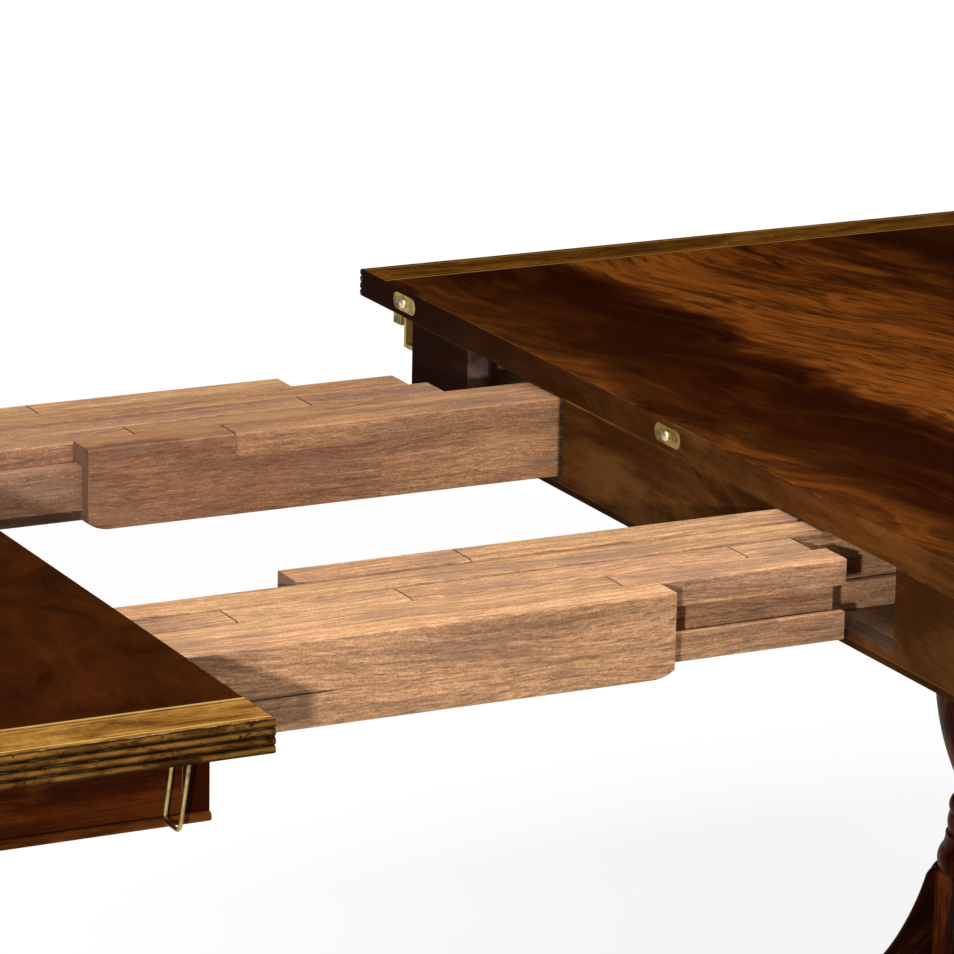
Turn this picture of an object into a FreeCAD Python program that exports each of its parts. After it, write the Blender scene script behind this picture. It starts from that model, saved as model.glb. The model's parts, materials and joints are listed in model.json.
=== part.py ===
import FreeCAD, Part
import math
import os

# Extending dining table on two turned pedestals, drawn open at rest.
# X runs along the table, Y across it (the near side is -Y), Z up from the floor.
# The origin lies on the floor, under the middle of the opening between the two halves.

# Overall sizes, in mm
table_height = 770.0
table_width = 1220.0
half_length = 915.0
open_gap = 650.0

# Half top and its reeded lipping
top_thickness = 26.0
lipping_depth = 12.0
reed_count = 4

# Apron frame under each half
apron_overhang = 114.0
apron_height = 86.0
joint_apron_thickness = 22.0
side_apron_thickness = 20.0
end_apron_thickness = 20.0
bead_height = 7.5
bead_proud = 3.5
corner_block_side = 52.0
corner_block_height = 60.0

# Notches for the slides in the joint apron
notch_inner_clear = 2.0
notch_outer_clear = 13.5
notch_floor_clear = 0.5

# Telescoping slides: five bars a set, lanes counted a to e from the outside in
slide_length = 914.0
slide_height = 72.5
slide_pitch = 34.8
lane_gap = 0.5
slide_set_inset = 108.5
slide_arris = 1.2
slide_lead_length = 20.0
slide_lead_rise = 6.5
slot_height = 35.0
slot_mouth = 22.5
slot_chamber = 41.0
slot_lip = 7.0
slot_depth = 20.0
slot_fit = 0.5

# Each slide by set and lane: where its middle lies from the closed joint, how far its top lies
# below the table top's underside, and its share of the table's extension
near_closed_middles = {"a": 1.5, "b": 14.0, "c": -162.0, "d": -40.5, "e": 0.0}
far_closed_middles = {"a": -5.5, "b": -70.5, "c": -215.0, "d": -55.5, "e": 1.5}
near_slide_drops = {"a": 2.5, "b": 4.5, "c": 4.0, "d": 2.5, "e": 0.3}
far_slide_drops = {"a": 4.0, "b": 2.5, "c": 2.5, "d": 2.5, "e": 0.3}
slide_run_shares = {"a": 0.0, "b": 0.25, "c": 0.5, "d": 0.75, "e": 1.0}

# Battens under the top, the bearer under the slides, and the pedestal plate
batten_width = 45.0
batten_height = 61.0
batten_slide_gap = 28.5
packing_width = 30.0
bearer_depth = 72.0
plate_length = 360.0
plate_side_margin = 15.0
plate_thickness = 25.0
pedestal_offset = 350.0

# Turned column
column_radius = 59.0
hub_top = 311.0
hub_bottom = 182.0
hub_flat_radius = 46.0
hub_foot_radius = 30.0
hub_foot_drop = 12.0

# Sabre legs
leg_count = 4
leg_first_angle = 45.0
leg_thickness = 37.0
toe_thickness = 30.0
leg_shoulder_radius = 58.0
leg_shoulder_drop = 8.0
leg_knee = (93.0, 224.5)
leg_root_height = 192.0
leg_arch = (150.0, 107.0)
toe_end = 396.0
toe_length = 61.0
toe_depth = 34.0
toe_underside = 54.0
leg_round = 3.0

# Brass toe cap and castor
cap_wall = 2.5
cap_floor = 6.0
cap_grip = 50.0
stem_bore_fit = 0.05
stem_radius = 4.0
stem_length = 22.0
castor_inset = 25.0
castor_trail = 11.0
castor_gap = 0.3
castor_wheel_radius = 19.0
castor_wheel_width = 14.0
castor_tread_round = 3.0
castor_axle_radius = 3.0
castor_axle_fit = 0.05
fork_plate_thickness = 3.0
fork_plate_radius = 13.0
fork_cheek_thickness = 2.5
fork_side_gap = 0.4
fork_cheek_width = 13.0
fork_axle_cover = 6.0

# Leaf tongues and sockets in the joint faces
tongue_edge_inset = 96.0
tongue_plate_length = 46.0
tongue_plate_height = 16.0
tongue_plate_thickness = 2.5
tongue_width = 10.0
tongue_height = 9.0
tongue_reach = 4.0
tongue_round = 3.0
tongue_clear = 0.6
socket_pocket_clear = 2.0
plate_screw_offset = 15.0

# Bails under the left half and keepers under the right half
clip_apron_gap = 32.0
bail_pivot_offset = 35.0
bail_wire_radius = 1.6
bail_leg_spacing = 28.0
bail_length = 67.5
bail_corner = 6.0
bail_pin_inner = 6.0
bail_lean_angle = 8.0
bail_bore_fit = 0.05
barrel_radius = 4.0
barrel_length = 22.0
clip_plate_thickness = 3.0
clip_plate_width = 26.0
clip_plate_length = 40.0
keeper_offset = 13.0
keeper_side_clear = 0.5
keeper_drop = 36.0
keeper_depth = 15.8
keeper_toe_depth = 11.0
keeper_ramp = 10.0
keeper_wall = 4.0
keeper_flange_length = 64.0
keeper_flange_clear = 3.0
keeper_lug_clear = 3.0
keeper_lug_height = 14.0

# Wood screws
slide_screw_shares = (0.153, 0.416, 0.678, 0.94)
slide_screw_length = 78.0
slide_screw_sink = 10.0
wood_screw_radius = 2.2
wood_screw_head_radius = 4.4
plate_screw_length = 60.0
plate_screw_inset = 40.0
small_screw_radius = 1.4
small_screw_head_radius = 2.8
small_screw_length = 16.0
small_screw_depth = 1.6

# Shared allowance for cuts and overlong blanks
overrun = 10.0

# Column outline from the hub top (0) to the plate (1), heights and radii as shares of the
# column's height and largest radius: each entry ends a line, or an arc through a middle point
column_outline_shares = (
    ("line", (0.0, 0.78)),
    ("arc", (0.035, 0.85), (0.07, 0.775)),
    ("arc", (0.085, 0.745), (0.105, 0.735)),
    ("line", (0.112, 0.69)),
    ("arc", (0.135, 0.715), (0.158, 0.69)),
    ("line", (0.165, 0.675)),
    ("arc", (0.182, 0.70), (0.2, 0.66)),
    ("arc", (0.215, 0.575), (0.238, 0.56)),
    ("arc", (0.375, 0.855), (0.60, 1.0)),
    ("arc", (0.755, 0.90), (0.825, 0.62)),
    ("line", (0.833, 0.70)),
    ("arc", (0.85, 0.735), (0.867, 0.70)),
    ("arc", (0.885, 0.62), (0.91, 0.66)),
    ("line", (0.918, 0.80)),
    ("arc", (0.945, 0.865), (0.97, 0.82)),
    ("line", (0.975, 0.92)),
    ("line", (1.0, 0.92)),
)

# Places worked out from the sizes above
half_gap = open_gap / 2
half_width = table_width / 2
underside = table_height - top_thickness
apron_half_width = half_width - apron_overhang
apron_length = half_length - apron_overhang
apron_bottom = underside - apron_height
slide_bottom = underside - slide_height
slide_middle = slide_bottom + slot_height
slide_width = slide_pitch - lane_gap
slide_set_outer = apron_half_width - side_apron_thickness - slide_set_inset
slide_set_inner = slide_set_outer - len(slide_run_shares) * slide_pitch
batten_bottom = underside - batten_height
batten_centre = slide_set_inner - batten_slide_gap - batten_width / 2
plate_bottom = batten_bottom - plate_thickness
toe_start = toe_end - toe_length
castor_radius_out = toe_end - castor_inset
column_height = plate_bottom - hub_top
cap_bottom = toe_underside - cap_floor
fork_plate_top = cap_bottom - castor_gap
fork_plate_bottom = fork_plate_top - fork_plate_thickness
bail_pivot_height = underside - clip_plate_thickness - barrel_radius
tongue_centre_height = underside + top_thickness / 2
tongue_offset = half_width - tongue_edge_inset
clip_centre = apron_half_width + clip_apron_gap
keeper_width = bail_leg_spacing - 2 * bail_wire_radius - 2 * keeper_side_clear
keeper_flange_inner = apron_half_width + keeper_flange_clear
keeper_flange_outer = keeper_flange_inner + keeper_flange_length
keeper_lug_inner = clip_centre + bail_leg_spacing / 2 + bail_wire_radius + keeper_lug_clear

os.makedirs("parts", exist_ok=True)
lanes = ("a", "b", "c", "d", "e")


def vec(x, y, z):
    return FreeCAD.Vector(x, y, z)


x_axis = vec(1, 0, 0)
y_axis = vec(0, 1, 0)
z_axis = vec(0, 0, 1)
origin = vec(0, 0, 0)


def box(x_range, y_range, z_range):
    low = vec(min(x_range), min(y_range), min(z_range))
    size = [abs(r[1] - r[0]) for r in (x_range, y_range, z_range)]
    return Part.makeBox(size[0], size[1], size[2], low)


def rod(radius, length, start, direction):
    return Part.makeCylinder(radius, length, start, direction)


def prism(points, travel):
    wire = Part.makePolygon(points + points[:1])
    return Part.Face(wire).extrude(travel)


def fused(shapes):
    joined = shapes[0].multiFuse(shapes[1:]) if len(shapes) > 1 else shapes[0]
    return joined.removeSplitter()


def turned(shape, angle, centre=origin, axis=z_axis):
    copy = shape.copy()
    copy.rotate(centre, axis, angle)
    return copy


def moved(shape, x, y, z):
    copy = shape.copy()
    copy.translate(vec(x, y, z))
    return copy


def on_half(shape, side):
    """Puts a shape drawn from the joint face outwards on the right (1) or the left (-1) half."""
    placed = moved(shape, half_gap, 0, 0)
    return placed if side > 0 else turned(placed, 180)


def write(name, shapes):
    shape = shapes[0] if len(shapes) == 1 else Part.makeCompound(shapes)
    shape.exportStep("parts/" + name + ".step")


# Half top

def reed_section(along_x, edge, inner, bottom, height, count):
    """Section of a moulding with round reeds on its outer face, square to its run."""
    radius = height / (2 * count)
    base = edge - radius

    def point(out, z):
        return vec(0, out, z) if along_x else vec(out, 0, z)

    edges = []
    for i in range(count):
        z = bottom + 2 * radius * i
        arc = Part.Arc(point(base, z), point(edge, z + radius), point(base, z + 2 * radius))
        edges.append(arc.toShape())
    top = bottom + height
    corners = [point(base, top), point(inner, top), point(inner, bottom), point(base, bottom)]
    edges += [Part.makeLine(a, b) for a, b in zip(corners, corners[1:])]
    return Part.Face(Part.Wire(edges))


def mitred_strips(section, edge_y, end_x, depth):
    """Three strips round the sides and the end, mitred at the corners: near, end, far."""
    reach = 2 * depth
    z_low = -overrun
    lift = vec(0, 0, table_height + 2 * overrun)
    far_run = section(True, edge_y).extrude(vec(end_x, 0, 0))
    end_run = section(False, end_x).extrude(vec(0, 2 * edge_y, 0))
    end_run = moved(end_run, 0, -edge_y, 0)
    side = [vec(-overrun, edge_y + overrun, z_low), vec(end_x + overrun, edge_y + overrun, z_low),
            vec(end_x - reach, edge_y - reach, z_low), vec(-overrun, edge_y - reach, z_low)]
    end = [vec(end_x + overrun, edge_y + overrun, z_low), vec(end_x - reach, edge_y - reach, z_low),
           vec(end_x - reach, reach - edge_y, z_low), vec(end_x + overrun, -edge_y - overrun, z_low)]
    far = far_run.common(prism(side, lift))
    near = far.mirror(origin, y_axis)
    return [near, end_run.common(prism(end, lift)), far]


def reeded_edge(side):
    def section(along_x, edge):
        return reed_section(along_x, edge, edge - lipping_depth, underside, top_thickness, reed_count)

    strips = mitred_strips(section, half_width, half_length, lipping_depth)
    return [on_half(s, side) for s in strips]


def apron_bead(side):
    def section(along_x, edge):
        inner = edge - bead_proud

        def point(out, z):
            return vec(0, out, z) if along_x else vec(out, 0, z)

        low = point(inner, apron_bottom)
        high = point(inner, apron_bottom + bead_height)
        arc = Part.Arc(low, point(edge, apron_bottom + bead_height / 2), high)
        return Part.Face(Part.Wire([arc.toShape(), Part.makeLine(high, low)]))

    edge_y = apron_half_width + bead_proud
    strips = mitred_strips(section, edge_y, apron_length + bead_proud, bead_proud)
    return [on_half(s, side) for s in strips]


def stadium(length, height, thickness):
    """Upright plate with round ends, in the YZ plane, centred, from x = 0 to its thickness."""
    radius = min(length, height) / 2
    half = max(length, height) / 2 - radius
    wide = length >= height
    step = vec(0, half, 0) if wide else vec(0, 0, half)
    body = [rod(radius, thickness, step * s, x_axis) for s in (-1, 1)]
    middle_y = half if wide else radius
    middle_z = radius if wide else half
    body.append(box((0, thickness), (-middle_y, middle_y), (-middle_z, middle_z)))
    return fused(body)


def tongue_places():
    return [vec(0, y, tongue_centre_height) for y in (-tongue_offset, 0, tongue_offset)]


def face_plate_screw(place, y):
    """Small countersunk screw through a joint face plate, head flush with the joint face."""
    start = place + vec(0, y, 0)
    head = Part.makeCone(small_screw_head_radius, small_screw_radius, small_screw_depth, start, x_axis)
    shank = rod(small_screw_radius, small_screw_length, start, x_axis)
    return fused([head, shank])


def face_plate_screws():
    return [face_plate_screw(p, s * plate_screw_offset) for p in tongue_places() for s in (-1, 1)]


def face_plate(place):
    plate = stadium(tongue_plate_length, tongue_plate_height, tongue_plate_thickness)
    return moved(plate, place.x, place.y, place.z)


def socket_slot(place, depth):
    slot = stadium(tongue_width + 2 * tongue_clear, tongue_height + 2 * tongue_clear, depth)
    return moved(slot, place.x, place.y, place.z)


def top_panel(side):
    inner = half_width - lipping_depth
    panel = box((0, half_length - lipping_depth), (-inner, inner), (underside, table_height))
    cutters = [face_plate(p) for p in tongue_places()] + face_plate_screws()
    if side < 0:
        depth = tongue_reach + socket_pocket_clear
        cutters += [socket_slot(p, depth) for p in tongue_places()]
    cutters += slide_screws(side) + clip_screws(side)
    return on_half(panel.cut(Part.makeCompound(cutters)), side)


def leaf_tongue(place):
    plate = face_plate(place)
    tongue = stadium(tongue_width, tongue_height, tongue_reach + tongue_plate_thickness / 2)
    tip = [e for e in tongue.Edges if e.BoundBox.XMin > tongue_reach]
    tongue = tongue.makeFillet(tongue_round, tip)
    tongue = turned(tongue, 180)
    tongue = moved(tongue, tongue_plate_thickness / 2, place.y, place.z)
    return fused([plate, tongue])


def leaf_tongues():
    screws = Part.makeCompound(face_plate_screws())
    return [on_half(leaf_tongue(p).cut(screws), 1) for p in tongue_places()]


def leaf_sockets():
    screws = face_plate_screws()
    sockets = []
    for place in tongue_places():
        cutter = Part.makeCompound(screws + [socket_slot(place, tongue_plate_thickness)])
        sockets.append(on_half(face_plate(place).cut(cutter), -1))
    return sockets


# Apron frame

def joint_apron(side):
    board = box((0, joint_apron_thickness), (-apron_half_width, apron_half_width), (apron_bottom, underside))
    low = slide_set_inner - notch_inner_clear
    high = slide_set_outer + notch_outer_clear
    floor = slide_bottom - notch_floor_clear
    for sign in (-1, 1):
        notch = box((-overrun, joint_apron_thickness + overrun), (sign * low, sign * high),
                    (floor, underside + overrun))
        board = board.cut(notch)
    return on_half(board, side)


def side_apron(side, sign):
    """sign is -1 for the near apron and 1 for the far one, as they stand on the table."""
    inner = apron_half_width - side_apron_thickness
    y = sign * side
    board = box((joint_apron_thickness, apron_length - end_apron_thickness),
                (y * inner, y * apron_half_width), (apron_bottom, underside))
    return on_half(board, side)


def end_apron(side):
    board = box((apron_length - end_apron_thickness, apron_length),
                (-apron_half_width, apron_half_width), (apron_bottom, underside))
    return on_half(board, side)


def corner_blocks(side):
    """Triangular glue blocks in the four inner corners of the apron frame."""
    inner_y = apron_half_width - side_apron_thickness
    corners = ((joint_apron_thickness, 1), (apron_length - end_apron_thickness, -1))
    blocks = []
    for x, step in corners:
        for sign in (-1, 1):
            z = underside - corner_block_height
            points = [vec(x, sign * inner_y, z), vec(x + step * corner_block_side, sign * inner_y, z),
                      vec(x, sign * (inner_y - corner_block_side), z)]
            blocks.append(on_half(prism(points, vec(0, 0, corner_block_height)), side))
    return blocks


def battens(side):
    """Two deep battens that carry the pedestal, and a bearer under the slides at the joint."""
    inner = apron_half_width - side_apron_thickness
    bars = [box((joint_apron_thickness, joint_apron_thickness + bearer_depth), (-inner, inner),
                (apron_bottom, slide_bottom - notch_floor_clear))]
    for sign in (-1, 1):
        y = sign * batten_centre
        bars.append(box((joint_apron_thickness, apron_length - end_apron_thickness),
                        (y - batten_width / 2, y + batten_width / 2), (batten_bottom, underside)))
        if side < 0:
            bars.append(packing(sign))
    cutter = Part.makeCompound(slide_screws(side) + plate_screws())
    return [on_half(b.cut(cutter), side) for b in bars]


def packing(sign):
    """Thin strip that fills the drop over the left half's fixed slide of one set."""
    middle = -sign * body_centre("a")
    return box((joint_apron_thickness, slide_length / 2 - closed_middle("a", sign)),
               (middle - packing_width / 2, middle + packing_width / 2), (slide_top("a", sign), underside))


def pedestal_plate(side):
    half_x = plate_length / 2
    half_y = batten_centre + batten_width / 2 + plate_side_margin
    plate = box((pedestal_offset - half_x, pedestal_offset + half_x), (-half_y, half_y),
                (plate_bottom, batten_bottom))
    return on_half(plate.cut(Part.makeCompound(plate_screws())), side)


# Slides

def lane_edges(lane):
    """Distance from the table's centre line to a lane's inner and outer face."""
    index = len(lanes) - 1 - lanes.index(lane)
    inner = slide_set_inner + index * slide_pitch + lane_gap / 2
    return inner, inner + slide_width


def fixed_lane(side):
    return "a" if side < 0 else "e"


def body_centre(lane):
    """Middle of the wood behind the slot, where the screws pass."""
    low, high = lane_edges(lane)
    return (low + high) / 2 if lane == "a" else (low + high - slot_depth) / 2


def closed_middle(lane, sign):
    return (near_closed_middles if sign < 0 else far_closed_middles)[lane]


def slide_top(lane, sign):
    return underside - (near_slide_drops if sign < 0 else far_slide_drops)[lane]


def slide_bar(lane, sign):
    """One slide: T slot in the outer face (not in lane a), T tongue on the inner one (not in e)."""
    low, high = lane_edges(lane)
    middle = closed_middle(lane, sign) - half_gap + slide_run_shares[lane] * open_gap
    x_start = middle - slide_length / 2
    x_end = x_start + slide_length
    bar = box((x_start, x_end), (low, high), (slide_bottom, slide_top(lane, sign)))
    bar = eased_bar(bar, lane)
    if lane != "a":
        mouth = box((x_start - overrun, x_end + overrun), (high - slot_lip - slot_fit, high + overrun),
                    (slide_middle - slot_mouth / 2, slide_middle + slot_mouth / 2))
        chamber = box((x_start - overrun, x_end + overrun), (high - slot_depth, high - slot_lip),
                      (slide_middle - slot_chamber / 2, slide_middle + slot_chamber / 2))
        bar = bar.cut(mouth).cut(chamber)
    if lane != "e":
        reach = lane_gap + slot_depth - slot_fit
        neck_reach = lane_gap + slot_lip + slot_fit
        neck_half = slot_mouth / 2 - slot_fit
        head_half = slot_chamber / 2 - slot_fit
        neck = box((x_start, x_end), (low - neck_reach - slot_fit, low + slot_fit),
                   (slide_middle - neck_half, slide_middle + neck_half))
        head = box((x_start, x_end), (low - reach, low - neck_reach),
                   (slide_middle - head_half, slide_middle + head_half))
        bar = fused([bar, neck, head])
    return bar if sign > 0 else bar.mirror(origin, y_axis)


def lead_cutter(bar, end, sign):
    """What a long arc, tangent to the slide's bottom, takes off the lower corner at one end."""
    radius = (slide_lead_length**2 + slide_lead_rise**2) / (2 * slide_lead_rise)
    start = end - sign * slide_lead_length
    low_y = bar.BoundBox.YMin - overrun
    width = bar.BoundBox.YLength + 2 * overrun
    corner = box((start, end + sign * overrun), (low_y, low_y + width),
                 (slide_bottom - overrun, slide_bottom + slide_lead_rise))
    return corner.cut(rod(radius, width, vec(start, low_y, slide_bottom + radius), y_axis))


def eased_bar(bar, lane):
    """Sweeps up the lower corner at the free end of a fixed slide, and eases the long upper arrises."""
    if lane == "a":
        bar = bar.cut(lead_cutter(bar, bar.BoundBox.XMax, 1))
    if lane == "e":
        bar = bar.cut(lead_cutter(bar, bar.BoundBox.XMin, -1))
    top = bar.BoundBox.ZMax
    upper = [e for e in bar.Edges if abs(e.BoundBox.ZMin - top) < slide_arris]
    return bar.makeChamfer(slide_arris, [e for e in upper if e.BoundBox.XLength > slide_length / 2])


def slide_screws(side):
    """Screws up through the fixed slides into the half top, drawn from the joint face."""
    screws = []
    y = body_centre(fixed_lane(side))
    for share in slide_screw_shares:
        for sign in (-1, 1):
            start = vec(share * slide_length / 2, sign * y, slide_bottom + slide_screw_sink)
            screws.append(wood_screw(start, slide_screw_length))
    return screws


def wood_screw(start, length):
    head_depth = wood_screw_head_radius - wood_screw_radius
    head = Part.makeCone(wood_screw_head_radius, wood_screw_radius, head_depth, start, z_axis)
    return fused([head, rod(wood_screw_radius, length, start, z_axis)])


def fixed_slide(sign, side):
    lane = fixed_lane(side)
    bar = slide_bar(lane, sign)
    wells = []
    for screw in slide_screws(side):
        placed = on_half(screw, side)
        well = vec(placed.BoundBox.Center.x, placed.BoundBox.Center.y, slide_bottom - overrun)
        wells += [placed, rod(wood_screw_head_radius, slide_screw_sink + overrun, well, z_axis)]
    return bar.cut(Part.makeCompound(wells))


# Pedestal

def plate_screws():
    reach = plate_length / 2 - plate_screw_inset
    screws = []
    for x in (-reach, reach):
        for y in (-batten_centre, batten_centre):
            screws.append(wood_screw(vec(pedestal_offset + x, y, plate_bottom), plate_screw_length))
    return screws


def column(side):
    def at(shares):
        return vec(shares[1] * column_radius, 0, hub_top + shares[0] * column_height)

    first = at(column_outline_shares[0][1])
    edges = []
    last = first
    for entry in column_outline_shares[1:]:
        target = at(entry[-1])
        if entry[0] == "arc":
            edges.append(Part.Arc(last, at(entry[1]), target).toShape())
        else:
            edges.append(Part.makeLine(last, target))
        last = target
    axis_top = vec(0, 0, last.z)
    axis_low = vec(0, 0, first.z)
    edges += [Part.makeLine(a, b) for a, b in ((last, axis_top), (axis_top, axis_low), (axis_low, first))]
    shaft = Part.Face(Part.Wire(edges)).revolve(origin, z_axis, 360)
    block = hub()
    return on_half(moved(fused([shaft, block]), pedestal_offset, 0, 0), side)


def hub():
    """Eight sided block that takes the legs, with a turned foot under it."""
    corner = hub_flat_radius / math.cos(math.pi / 8)
    turn = [math.pi / 8 + k * math.pi / 4 for k in range(8)]
    ring = [vec(corner * math.cos(a), corner * math.sin(a), hub_bottom) for a in turn]
    block = prism(ring, vec(0, 0, hub_top - hub_bottom))
    foot = Part.makeCone(hub_foot_radius, hub_flat_radius, hub_foot_drop,
                         vec(0, 0, hub_bottom - hub_foot_drop), z_axis)
    return block.fuse(foot)


def toe_box(grow, start, end):
    """The straight toe of a leg, or the outside of its cap."""
    half = toe_thickness / 2 + grow
    return box((start, end), (-half, half), (toe_underside - grow, toe_underside + toe_depth + grow))


def leg():
    """Sabre leg along +X from the column's axis: curved side profile, tapered in plan."""
    shoulder_top = hub_top
    knee_top = hub_top - leg_shoulder_drop
    toe_top = toe_underside + toe_depth
    inner = hub_flat_radius
    bend = vec(leg_shoulder_radius - leg_shoulder_drop / 3, 0, shoulder_top - leg_shoulder_drop / 4)
    start = vec(inner, 0, shoulder_top)
    shoulder = vec(leg_shoulder_radius, 0, knee_top)
    toe = vec(toe_start, 0, toe_top)
    tip = vec(toe_end, 0, toe_top)
    tip_low = vec(toe_end, 0, toe_underside)
    toe_low = vec(toe_start, 0, toe_underside)
    root = vec(inner, 0, leg_root_height)
    edges = [
        Part.Arc(start, bend, shoulder).toShape(),
        Part.Arc(shoulder, vec(leg_knee[0], 0, leg_knee[1]), toe).toShape(),
        Part.makeLine(toe, tip),
        Part.makeLine(tip, tip_low),
        Part.makeLine(tip_low, toe_low),
        Part.Arc(toe_low, vec(leg_arch[0], 0, leg_arch[1]), root).toShape(),
        Part.makeLine(root, start),
    ]
    profile = Part.Face(Part.Wire(edges))
    blank = moved(profile.extrude(vec(0, leg_thickness, 0)), 0, -leg_thickness / 2, 0)
    root_half = leg_thickness / 2
    toe_half = toe_thickness / 2
    plan = [vec(inner, -root_half, 0), vec(toe_start, -toe_half, 0), vec(toe_end, -toe_half, 0),
            vec(toe_end, toe_half, 0), vec(toe_start, toe_half, 0), vec(inner, root_half, 0)]
    shaped = blank.common(prism(plan, vec(0, 0, table_height)))
    return eased_leg(shaped)


def eased_leg(shaped):
    """Rounds the two long upper edges between the shoulder and the toe cap."""
    long_edges = []
    for edge in shaped.Edges:
        bounds = edge.BoundBox
        spans = bounds.XMin < leg_shoulder_radius + leg_round and bounds.XMax > toe_start - leg_round
        if spans and bounds.ZMax > leg_knee[1]:
            long_edges.append(edge)
    return shaped.makeFillet(leg_round, long_edges)


def leg_angles():
    return [leg_first_angle + k * 360 / leg_count for k in range(leg_count)]


def around_pedestal(shape, side):
    """Copies of a piece drawn along +X from the column's axis, one for each leg."""
    placed = []
    for angle in leg_angles():
        placed.append(on_half(moved(turned(shape, angle), pedestal_offset, 0, 0), side))
    return placed


def toe_cap():
    """Brass socket round the toe, closed at the tip and thick below for the castor stem."""
    start = toe_end - cap_grip
    shell = toe_box(cap_wall, start, toe_end + cap_wall)
    half = toe_thickness / 2 + cap_wall
    sole = box((start, toe_end + cap_wall), (-half, half), (cap_bottom, toe_underside))
    bore = rod(stem_radius + stem_bore_fit, stem_length + castor_gap,
               vec(castor_radius_out, 0, fork_plate_top), z_axis)
    cap = fused([shell, sole]).cut(toe_box(0, start - overrun, toe_end))
    return cap.cut(bore)


def leg_with_bore():
    """The castor stem runs on up into the toe."""
    bore = rod(stem_radius + stem_bore_fit, stem_length + castor_gap,
               vec(castor_radius_out, 0, fork_plate_top), z_axis)
    return leg().cut(bore)


def castor_fork():
    """Swivel plate with its stem, two cheeks and the axle pin between them."""
    axle_x = castor_radius_out + castor_trail
    inner = castor_wheel_width / 2 + fork_side_gap
    outer = inner + fork_cheek_thickness
    low = castor_wheel_radius - fork_axle_cover
    plate = rod(fork_plate_radius, fork_plate_thickness, vec(castor_radius_out, 0, fork_plate_bottom), z_axis)
    stem = rod(stem_radius, stem_length + fork_plate_thickness,
               vec(castor_radius_out, 0, fork_plate_bottom), z_axis)
    pieces = [plate, stem]
    for sign in (-1, 1):
        profile = [vec(castor_radius_out - fork_cheek_width / 2, sign * inner, fork_plate_top),
                   vec(axle_x + fork_cheek_width / 2, sign * inner, fork_plate_top),
                   vec(axle_x + fork_axle_cover, sign * inner, low),
                   vec(axle_x - fork_axle_cover, sign * inner, low)]
        pieces.append(prism(profile, vec(0, sign * fork_cheek_thickness, 0)))
    bridge = box((castor_radius_out, axle_x + fork_cheek_width / 2), (-outer, outer),
                 (fork_plate_bottom, fork_plate_top))
    pieces.append(bridge)
    pieces.append(rod(castor_axle_radius, 2 * outer, vec(axle_x, -outer, castor_wheel_radius), y_axis))
    return fused(pieces)


def castor_wheel():
    axle_x = castor_radius_out + castor_trail
    start = vec(axle_x, -castor_wheel_width / 2, castor_wheel_radius)
    wheel = rod(castor_wheel_radius, castor_wheel_width, start, y_axis)
    wheel = wheel.makeFillet(castor_tread_round, [e for e in wheel.Edges if e.BoundBox.YLength < slot_fit])
    return wheel.cut(rod(castor_axle_radius + castor_axle_fit, castor_wheel_width, start, y_axis))


# Clips under the tops

def clip_places():
    return [-clip_centre, clip_centre]


def clip_screw_places(side):
    """Screw centres of the clip plates, from the joint face."""
    z = underside - clip_plate_thickness
    if side < 0:
        x = bail_pivot_offset + barrel_radius + clip_plate_width / 4
        step = clip_plate_length / 4
        return [vec(x, y + s * step, z) for y in clip_places() for s in (-1, 1)]
    y = (clip_centre + keeper_width / 2 + keeper_flange_outer) / 2
    first = keeper_offset + clip_plate_width / 4
    return [vec(x, s * y, z) for s in (-1, 1) for x in (first, first + clip_plate_width / 2)]


def clip_screws(side):
    screws = []
    for place in clip_screw_places(side):
        head = Part.makeCone(small_screw_head_radius, small_screw_radius, small_screw_depth, place, z_axis)
        screws.append(fused([head, rod(small_screw_radius, small_screw_length, place, z_axis)]))
    return screws


def bail_bracket(y):
    """Plate under the top with a barrel that takes the two ends of the bail."""
    half = clip_plate_length / 2
    plate = box((bail_pivot_offset - barrel_radius, bail_pivot_offset + clip_plate_width - barrel_radius),
                (y - half, y + half), (underside - clip_plate_thickness, underside))
    start = vec(bail_pivot_offset, y - barrel_length / 2, bail_pivot_height)
    barrel = rod(barrel_radius, barrel_length, start, y_axis)
    web = box((bail_pivot_offset - barrel_radius, bail_pivot_offset + barrel_radius),
              (y - barrel_length / 2, y + barrel_length / 2), (bail_pivot_height, underside))
    bore = rod(bail_wire_radius + bail_bore_fit, barrel_length, start, y_axis)
    return fused([plate, barrel, web]).cut(bore)


def bail(y):
    """Wire bail hung from its two inturned ends, leaning a little away from the joint."""
    half = bail_leg_spacing / 2
    r = bail_corner
    s = bail_corner * (1 - math.sqrt(0.5))
    low = -bail_length
    top = bail_wire_radius * 2
    t = top * (1 - math.sqrt(0.5))
    points = [vec(0, -bail_pin_inner, 0), vec(0, top - half, 0), vec(0, t - half, -t), vec(0, -half, -top),
              vec(0, -half, low + r), vec(0, s - half, low + s), vec(0, r - half, low)]
    path = [Part.makeLine(points[0], points[1]), Part.Arc(points[1], points[2], points[3]).toShape(),
            Part.makeLine(points[3], points[4]), Part.Arc(points[4], points[5], points[6]).toShape(),
            Part.makeLine(points[6], vec(0, 0, low))]
    circle = Part.Wire(Part.makeCircle(bail_wire_radius, points[0], y_axis))
    side_wire = Part.Wire(path).makePipeShell([circle], True, False)
    wire = fused([side_wire, side_wire.mirror(origin, y_axis)])
    wire = turned(wire, -bail_lean_angle, origin, y_axis)
    return moved(wire, bail_pivot_offset, y, bail_pivot_height)


def keeper_profile(front, wall):
    """Side outline of the keeper's body, drawn in by a wall: its back ramps out to the bail's seat."""
    low = underside - keeper_drop + wall
    top = underside - clip_plate_thickness
    back = keeper_offset + keeper_depth - wall
    toe = keeper_offset + keeper_toe_depth - wall
    return [(front, low), (toe, low), (back, low + keeper_ramp), (back, top), (front, top)]


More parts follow.
